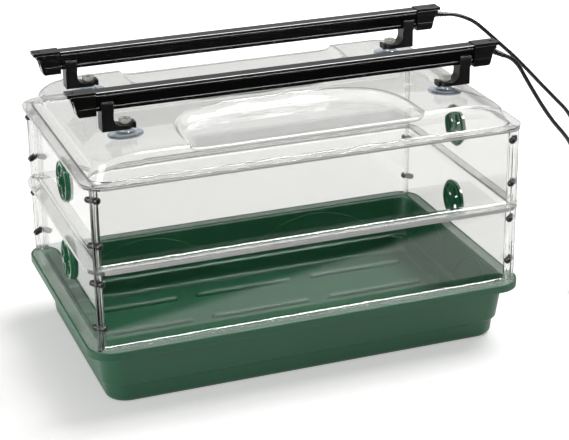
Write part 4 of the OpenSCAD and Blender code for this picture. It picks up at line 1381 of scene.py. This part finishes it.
@dataclass
class Lamp:
    """Grow light on two brackets with suction cups and thumb nuts."""

    side: Side
    y: float = 92.0
    underside: float = 379.0
    lid_top: float = Lid.top_z
    cup_x: float = 221.0
    cup_r: float = 23.0
    neck_r: float = 9.0
    stud_r: float = 3.0
    foot_z: float = 8.0
    foot_t: float = 5.5
    nut_r: float = 8.0
    nut_h: float = 7.0
    flutes: int = 16
    flute_depth: float = 0.35
    led_count: int = 24
    led_span: float = 498.0
    led_z: float = 3.4
    led_steps: int = 12
    cup_steps: int = 48
    # Part, finish, slot, edge rounding and its steps
    rigid: tuple[tuple[str, str, str, float, int], ...] = (
        ("housing", "lamp", "lamp_housing", 0.9, 3), ("board", "board", "lamp_board", 0.2, 1),
        ("diffuser", "diffuser", "diffuser", 0.2, 1), ("left_cap", "cap", "lamp_cap", 0.7, 3),
        ("right_cap", "cap", "lamp_cap", 0.7, 3), ("link_socket", "socket", "link_socket", 0.4, 2),
        ("left_bracket", "bracket", "bracket", 0.8, 3), ("right_bracket", "bracket", "bracket", 0.8, 3))

    def cup_place(self, end: End, z: float) -> Matrix:
        """Give the place at a height over a suction cup, in millimetres."""
        return Matrix.Translation((end.value * self.cup_x, self.side.value * self.y, z))

    def cup(self, end: End) -> None:
        """Turn a suction cup with a flared skirt, a neck and a stud.

        Args:
            end: left or right.
        """
        r, neck, stud = self.cup_r, self.neck_r, self.stud_r
        top = self.foot_z + self.foot_t + self.nut_h - 1
        profile = [(0, 1.2), (5, 1.15), (10, 0.85), (14, 0.45), (17.5, 0.0), (r - 0.4, 0.0), (r, 0.4),
                   (r, 1.0), (r - 0.5, 1.3), (r * 0.86, 1.85), (r * 0.72, 2.35), (14, 2.95), (12, 3.5),
                   (10.2, 4.2), (9.3, 5.2), (neck, 5.8), (neck, 6.3), (8.6, 6.8), (7.4, 7.1), (7.4, 7.9),
                   (stud + 0.2, 7.98), (stud, 8.3), (stud, top - 0.5), (stud - 0.5, top), (0, top)]
        name = f"{self.side.lamp}_{end.label}_cup"
        made = lathe(name + "_moulding", profile, self.cup_place(end, self.lid_top + AIR), self.cup_steps)
        lid = Lid()
        for v in made.data.vertices:
            share = max(0.0, 1 - (v.co.z / MM - self.lid_top) / self.foot_z)
            v.co.z -= share * lid.fall(v.co.x / MM) * MM
        enrol(dress(smooth(made, 50), "cup"), self.side.lamp, "suction_cup", name)

    def nut(self, end: End) -> None:
        """Turn a thumb nut with flutes round its grip.

        Args:
            end: left or right.
        """
        r, h, bore = self.nut_r, self.nut_h, self.stud_r + 0.1
        waist = r * 0.6

        def flute(angle: float, radius: float, height: float) -> float:
            """Draw the grip in along each flute.

            Args:
                angle: angle round the nut.
                radius: radius before the flute.
                height: height above the foot.

            Returns:
                The new radius.
            """
            if radius < r - 1.2 or height < 2.2:
                return radius
            return radius - self.flute_depth + self.flute_depth * math.cos(self.flutes * angle)

        profile = [(bore, 0), (waist - 0.3, 0), (waist, 0.3), (waist, 1.8), (waist + 0.5, 2.2),
                   (r - 0.9, 2.3), (r - 0.3, 2.6), (r, 3.1), (r, h - 1), (r - 0.3, h - 0.4),
                   (r - 0.9, h), (waist, h), (waist - 0.5, h - 0.5), (bore + 0.4, h - 0.5), (bore, h - 0.9)]
        name = f"{self.side.lamp}_{end.label}_nut"
        place = self.cup_place(end, self.lid_top + self.foot_z + self.foot_t + AIR)
        made = lathe(name + "_moulding", profile, place, 6 * self.flutes, flute)
        enrol(dress(smooth(made, 45), "nut"), f"{self.side.label}_{end.label}_nut", "thumb_nut", name)

    def lights(self) -> None:
        """Set the row of lights on the board."""
        dome = [(0, -1.0), (0.9, -0.95), (1.6, -0.7), (1.9, -0.3), (2.1, 0.0), (2.3, 0.2), (0, 0.2)]
        points = [(self.led_span * ((i + 0.5) / self.led_count - 0.5), self.side.value * self.y,
                   self.underside + self.led_z) for i in range(self.led_count)]
        row = scatter(self.side.lamp + "_lights", lathe("light", dome, Matrix(), self.led_steps), points,
                      [(0, 0, 1)] * self.led_count, "led")
        enrol(smooth(row, 50), self.side.lamp, "lamp_board")

    def build(self) -> None:
        """Dress the lamp's rigid pieces and make its cups, nuts and lights."""
        for part, finish, slot, bevel, segments in self.rigid:
            node = f"{self.side.lamp}_{part}"
            piece = cad_copy(node, node + "_piece", bevel, 30, segments)
            enrol(dress(piece, finish), self.side.lamp, slot, node)
        for end in End:
            self.cup(end)
            self.nut(end)
        self.lights()


@dataclass
class Lead:
    """A lamp's free lead: ribbed sleeve, loose run, tied coil and plug."""

    side: Side
    tilt: float
    points: tuple[Point, ...]
    foot: Point
    diameter: float = 5.6
    sleeve_start: float = 8.5
    sleeve_l: float = 20.0
    sleeve_rings: int = 5
    coil_r: float = 38.0
    coil_pitch: float = 6.2
    coil_z: float = 4.0
    coil_steps: int = 48
    run_steps: int = 6
    lead_in: float = 6.0
    turns_in: float = 2.0
    turns: float = 5.0

    def heading(self) -> Vector:
        """Give the direction of the sleeve."""
        a = math.radians(self.tilt)
        return Vector((math.cos(a), 0, -math.sin(a)))

    def tip(self) -> Vector:
        """Give the point where the lead leaves its sleeve."""
        return Vector(self.foot) + self.heading() * (self.sleeve_start + self.sleeve_l)

    def coil_point(self, t: float) -> Vector:
        """Give a point of the coil, which winds in, steps up and winds out.

        Args:
            t: turns from its start.

        Returns:
            The point, in millimetres.
        """
        end, pitch = self.points[-1], self.coil_pitch
        bottom = self.coil_r - pitch * self.turns_in
        if t < self.turns_in:
            r = self.coil_r - pitch * t
        elif t < self.turns_in + 0.5:
            r = bottom - pitch * 0.25 * math.sin(2 * math.pi * (t - self.turns_in))
        else:
            r = bottom + pitch * (t - self.turns_in - 0.5)
        u = min(max((t - self.turns_in) * 2, 0), 1)
        a = math.pi + 2 * math.pi * t
        rise = pitch * (1 - math.cos(math.pi * u)) / 2
        return Vector((end[0] + self.coil_r + r * math.cos(a), end[1] - self.lead_in + r * math.sin(a),
                       self.coil_z + rise))

    def plug_start(self) -> Vector:
        """Give the point where the lead enters its plug."""
        return self.coil_point(self.turns) + Vector((0, -self.lead_in, 0))

    def route(self) -> list[Vector]:
        """Give the lead's whole middle line, from the sleeve to the plug.

        Returns:
            Its points, in millimetres.
        """
        tip = self.tip()
        knots = [tip, tip + self.heading() * 1.5 * self.diameter] + [Vector(p) for p in self.points]
        line = []
        for i in range(len(knots) - 1):
            a, b, c, d = knots[max(i - 1, 0)], knots[i], knots[i + 1], knots[min(i + 2, len(knots) - 1)]
            for k in range(self.run_steps):
                u = k / self.run_steps
                line.append(0.5 * (2 * b + (c - a) * u + (2 * a - 5 * b + 4 * c - d) * u * u
                                   + (3 * b - a - 3 * c + d) * u ** 3))
        line.append(knots[-1])
        line += [self.coil_point(i / self.coil_steps) for i in range(int(self.turns * self.coil_steps) + 1)]
        line.append(self.plug_start() + Vector((0, -1.0, 0)))
        return line

    def run(self) -> Piece:
        """Make the lead as one open curve.

        Returns:
            The curve.
        """
        line = self.route()
        curve = bpy.data.curves.new(self.side.label + "_lead_cable", "CURVE")
        curve.dimensions = "3D"
        curve.bevel_depth = self.diameter / 2 * MM
        curve.bevel_resolution = 4
        curve.use_fill_caps = True
        spline = curve.splines.new("POLY")
        spline.points.add(len(line) - 1)
        for knot, p in zip(spline.points, line):
            knot.co = (*(p * MM), 1)
        spline.use_smooth = True
        curve.materials.append(Finishes.get("lead"))
        return link(bpy.data.objects.new(curve.name, curve))

    def sleeve(self) -> Piece:
        """Turn the tapered sleeve with its rings.

        Returns:
            The sleeve.
        """
        base, end, count = self.diameter / 2 + 1.6, self.diameter / 2 + 0.5, self.sleeve_rings
        step = self.sleeve_l / count
        profile = [(0, 0), (base - 0.4, 0), (base, 0.4)]
        for i in range(count):
            r = base + (end - base) * i / count
            profile += [(r - drawn, step * (i + share)) for drawn, share in
                        ((0, 0.33), (0.25, 0.4), (0.7, 0.47), (0.7, 0.78), (0.4, 0.9))]
        profile += [(end, self.sleeve_l - 0.3), (end - 0.3, self.sleeve_l), (0, self.sleeve_l)]
        turn = self.heading().to_track_quat("Z", "Y").to_matrix().to_4x4()
        place = Matrix.Translation(Vector(self.foot) + self.heading() * self.sleeve_start) @ turn
        return dress(smooth(lathe(self.side.label + "_lead_boot", profile, place, 28), 45), "lead")

    def plug(self) -> Piece:
        """Make the flat plug with its ribbed nose and two round pins.

        Returns:
            The plug.
        """
        at = self.plug_start()
        outline = [(-7, -22), (7, -22), (17, -34), (17, -55), (14, -58), (-14, -58), (-17, -55), (-17, -34)]
        rings = [[(at.x + x, at.y + y, z) for x, y in outline] for z in (0, 15)]
        grip = smooth(loft("plug_grip", rings), 20, 2.2, 4)
        back = Matrix.Rotation(math.pi / 2, 4, "X")
        nose = [(0, 0), (3.1, 0), (3.4, 0.3)]
        for i in range(4):
            nose += [(r + 0.35 * i, z + 4 * i) for r, z in ((3.6, 3), (3.1, 3.6), (3.2, 5), (3.9, 5.6))]
        nose += [(5, 22.5), (5, 26), (0, 26)]
        neck = lathe("plug_nose", nose, Matrix.Translation(at) @ back, 24)
        pieces = [dress(grip, "plug"), dress(smooth(neck, 45), "plug")]
        for sign in (-1, 1):
            place = Matrix.Translation((at.x + sign * 9.3, at.y - 56, 7.5)) @ back
            pin = lathe("plug_pin", [(0, 0), (2, 0), (2, 19.2), (1.7, 20.3), (1, 20.9), (0, 21)], place, 20)
            pieces.append(dress(smooth(pin, 45), "pin"))
        return joined(self.side.label + "_lead_end", pieces)

    def build(self) -> None:
        stem = self.side.label + "_lead"
        run, sleeve, plug = self.run(), self.sleeve(), self.plug()
        tie = dress(cad_copy(stem + "_tie", stem + "_strap", 0.3, 40), "tie")
        line = self.route()
        length = sum((b - a).length for a, b in zip(line, line[1:])) * MM
        enrol(run, self.side.lamp, "lead", stem, stem + "_coil")
        enrol(sleeve, self.side.lamp, "lead", stem + "_sleeve")
        enrol(plug, self.side.lamp, "lead_plug", stem + "_plug")
        enrol(tie, self.side.lamp, "lead_tie", stem + "_tie")


@dataclass
class Studio:
    """Camera, pale floor, lights and the white surroundings."""

    eye: Point = (-744.8, -2094.0, 1083.9)
    yaw: float = 20.16
    pitch: float = 22.7
    roll: float = -0.76
    lens: float = 110.04
    floor_half: float = 9.0
    # Floor in front of this line, in metres, is painted near black in gloss only: a painted dark reflection
    dark_line: tuple[float, float] = (-0.43, -0.45)
    dark_slant: float = 0.25
    # Glow that whitens the floor: to the camera, more of it far off, in glass, and in gloss short of that
    # line, where it is a painted bright reflection
    glow: float = 0.4
    far_glow: float = 0.6
    far_range: tuple[float, float] = (0.9, 2.0)
    seen_glow: float = 0.45
    # Bright patches: middle, half angle in degrees and strength
    glints: tuple[tuple[Point, float, float], ...] = (
        ((0.32, -0.39, 0.865), 12.0, 60.0), ((-0.86, -0.32, 0.36), 24.0, 5.0))
    # Weight of Y and Z in the lean of the surroundings, its range and the brightness over it
    lean_y: float = 0.55
    lean_z: float = 0.75
    lean_range: tuple[float, float] = (-0.35, 0.5)
    lean_bright: tuple[float, float] = (0.12, 0.5)
    fill_colour: tuple[float, float, float, float] = (1.0, 0.99, 0.97, 1.0)
    fill_light: float = 0.25
    aim: Point = (0, 0, 0.2)
    bounces: int = 28

    def camera(self) -> None:
        """Set the camera at the photograph's angle."""
        yaw, pitch, roll = (math.radians(a) for a in (self.yaw, self.pitch, self.roll))
        ahead = Vector((math.sin(yaw) * math.cos(pitch), math.cos(yaw) * math.cos(pitch), -math.sin(pitch)))
        right = Vector((math.cos(yaw), -math.sin(yaw), 0))
        up = right.cross(ahead)
        x = right * math.cos(roll) + up * math.sin(roll)
        y = up * math.cos(roll) - right * math.sin(roll)
        lens = bpy.data.cameras.new("camera")
        lens.sensor_fit = "HORIZONTAL"
        lens.sensor_width = 36.0
        lens.lens = self.lens
        lens.clip_end = 100
        made = link(bpy.data.objects.new("camera", lens))
        turn = Matrix((x, y, -ahead)).transposed().to_4x4()
        made.matrix_world = Matrix.Translation(Vector(self.eye) * MM) @ turn
        bpy.context.scene.camera = made

    @staticmethod
    def first_look(sheet: NodeSheet) -> Socket:
        """Give 1 until light has met a dull surface, so that what is only shown lights nothing."""
        return sheet.math("LESS_THAN", sheet.rays("Diffuse Depth"), 0.5)

    @staticmethod
    def through_rays(sheet: NodeSheet) -> Socket:
        """Give 1 for what is seen through clear pieces alone."""
        plain = sheet.math("LESS_THAN", sheet.rays("Glossy Depth"), 0.5)
        return sheet.math("MULTIPLY", sheet.rays("Is Transmission Ray"), plain)

    def floor(self) -> None:
        """Lay the floor, which shows white to the camera, keeps the shadow and carries a painted reflection
        in gloss.
        """
        h = self.floor_half
        mesh = bpy.data.meshes.new("floor")
        mesh.from_pydata([(-h, -h, 0), (h, -h, 0), (h, h, 0), (-h, h, 0)], [], [(0, 1, 2, 3)])
        made = new_object("floor", mesh)
        material, sheet, out = blank_material("floor_white")
        grain = sheet.effect("grain", Colour=linear("#ededec"), Deep=linear("#e9e9e9"), Mottle=0.4,
                             Grain=40.0, Gloss=0.85, Spread=0.05)
        place = sheet.place()
        axes = sheet.add("ShaderNodeSeparateXYZ", Vector=place).outputs
        line = sheet.math("ADD", axes[1], sheet.math("MULTIPLY", axes[0], self.dark_slant))
        ahead = sheet.ramp(line, *self.dark_line, soft=False)
        mirror = sheet.math("GREATER_THAN", sheet.rays("Glossy Depth"), 0.5)
        # Painted reflection: in gloss the floor's colour turns near black in front of the line
        shade = sheet.mix(sheet.math("MULTIPLY", ahead, mirror), grain["Colour"], (0.02, 0.02, 0.02, 1))
        base = sheet.add("ShaderNodeBsdfDiffuse", Color=shade)
        span = sheet.add("ShaderNodeVectorMath", {"operation": "LENGTH"}, place).outputs["Value"]
        away = sheet.ramp(span, *self.far_range, 0.0, self.far_glow)
        direct = sheet.math("MULTIPLY", sheet.rays("Is Camera Ray"), sheet.math("ADD", away, self.glow))
        behind = sheet.math("MULTIPLY", self.through_rays(sheet), self.seen_glow)
        # Painted bright reflection: in gloss the floor glows white short of the line
        painted_reflection_glow = sheet.math("MULTIPLY", mirror, sheet.math("SUBTRACT", 1.0, ahead), self.seen_glow)
        shown = sheet.math("MAXIMUM", direct, behind, painted_reflection_glow)
        glow = sheet.add("ShaderNodeEmission", Color=WHITE,
                         Strength=sheet.math("MULTIPLY", shown, self.first_look(sheet)))
        both = sheet.add("ShaderNodeAddShader", None, base.outputs[0], glow.outputs[0])
        sheet.put(out, 0, both.outputs[0])
        mesh.materials.append(material)

    @staticmethod
    def glint(sheet: NodeSheet, way: Socket, towards: Point, spread: float, strength: float) -> Socket:
        """Give a soft bright patch of the surroundings.

        Args:
            sheet: the node sheet.
            way: the direction looked in.
            towards: the patch's middle.
            spread: its half angle in degrees.
            strength: its brightness.

        Returns:
            The patch's brightness in that direction.
        """
        along = sheet.add("ShaderNodeVectorMath", {"operation": "DOT_PRODUCT"}, way,
                          Vector(towards).normalized())
        edge = math.cos(math.radians(spread))
        return sheet.ramp(along.outputs["Value"], edge, 0.6 * edge + 0.4, 0.0, strength)

    def world(self) -> None:
        """Surround the object with white that is darker in gloss behind the camera."""
        world = bpy.data.worlds.new("studio")
        bpy.context.scene.world = world
        world.use_nodes = True
        world.node_tree.nodes.clear()
        sheet = NodeSheet(world.node_tree)
        out = sheet.add("ShaderNodeOutputWorld")
        way = sheet.add("ShaderNodeTexCoord").outputs["Generated"]
        axes = sheet.add("ShaderNodeSeparateXYZ", Vector=way).outputs
        lean = sheet.math("ADD", sheet.math("MULTIPLY", axes[1], self.lean_y),
                          sheet.math("MULTIPLY", axes[2], self.lean_z))
        bright = sheet.math("ADD", sheet.ramp(lean, *self.lean_range, *self.lean_bright),
                            *(self.glint(sheet, way, *patch) for patch in self.glints))
        soft, shown, white = (
            sheet.add("ShaderNodeBackground", None, colour, strength).outputs[0] for colour, strength
            in ((self.fill_colour, self.fill_light), (WHITE, bright), (WHITE, 1.0)))
        seen = sheet.math("MAXIMUM", *(sheet.rays(f"Is {kind} Ray")
                                       for kind in ("Camera", "Glossy", "Transmission")))
        first = sheet.blend(sheet.math("MULTIPLY", seen, self.first_look(sheet)), soft, shown)
        through = sheet.math("MULTIPLY", self.through_rays(sheet), self.first_look(sheet))
        last = sheet.blend(sheet.math("MAXIMUM", sheet.rays("Is Camera Ray"), through), first, white)
        sheet.put(out, 0, last)

    def lamp(self, name: str, place: Point, size: tuple[float, float], power: float) -> None:
        """Hang one soft light, aimed at the middle of the object.

        Args:
            name: the light's name.
            place: its place in metres.
            size: its width and height in metres.
            power: its power in watts.
        """
        light = bpy.data.lights.new(name, "AREA")
        light.shape = "RECTANGLE"
        light.size, light.size_y = size
        light.energy = power
        made = link(bpy.data.objects.new(name, light))
        turn = (Vector(self.aim) - Vector(place)).to_track_quat("-Z", "Y").to_matrix().to_4x4()
        made.matrix_world = Matrix.Translation(place) @ turn
        made.visible_camera = False
        made.visible_transmission = False

    def build(self) -> None:
        """Set up the whole studio."""
        self.camera()
        self.floor()
        self.world()
        self.lamp("softbox_top", (2.0, 0.9, 3.1), (2.6, 2.0), 118.0)
        self.lamp("softbox_left", (-2.0, -0.85, 0.5), (0.5, 0.9), 14.0)
        scene = bpy.context.scene
        scene.view_settings.view_transform = "Standard"
        scene.cycles.max_bounces = self.bounces
        scene.cycles.transmission_bounces = self.bounces
        scene.cycles.transparent_max_bounces = self.bounces


FRONT_ROUTE: tuple[Point, ...] = (
    (324, -92, 372), (333, -92, 361), (343, -92, 344.5), (357, -92, 322), (372, -92, 299), (388, -92, 277),
    (414, -92, 245), (434, -84, 208), (450, -72, 165), (459, -60, 120), (460, -52, 78), (455, -52, 43),
    (447, -64, 17), (441, -84, 6), (438, -104, 4), (438, -114, 4), (438, -119, 4), (438, -124, 4),
)
REAR_ROUTE: tuple[Point, ...] = (
    (330, 91, 386), (342, 90, 381), (354, 89, 374), (366, 88, 364), (380, 86, 351), (396, 84, 336),
    (414, 81, 319), (436, 77, 296), (458, 73, 272), (480, 67, 248), (499, 62, 226), (515, 62, 195),
    (530, 66, 150), (540, 70, 105), (542, 70, 64), (537, 62, 32), (529, 46, 11), (525, 32, 5),
    (523, 20, 4), (522, 10, 4), (522, 4, 4),
)


def main() -> None:
    """Build the studio and every sub-assembly in order."""
    logging.basicConfig(level=logging.INFO, format="%(name)s: %(message)s")
    Studio().build()
    Lead(Side.FRONT, 26.0, FRONT_ROUTE, (283, -92, 394)).build()
    Lead(Side.REAR, 8.0, REAR_ROUTE, (283, 92, 394)).build()
    Tray().build()
    for level in Level:
        WallTier(level).build()
        for end in End:
            Vent(level, end).build()
    Lid().build()
    for side in Side:
        Lamp(side).build()


if __name__ == "__main__":
    main()
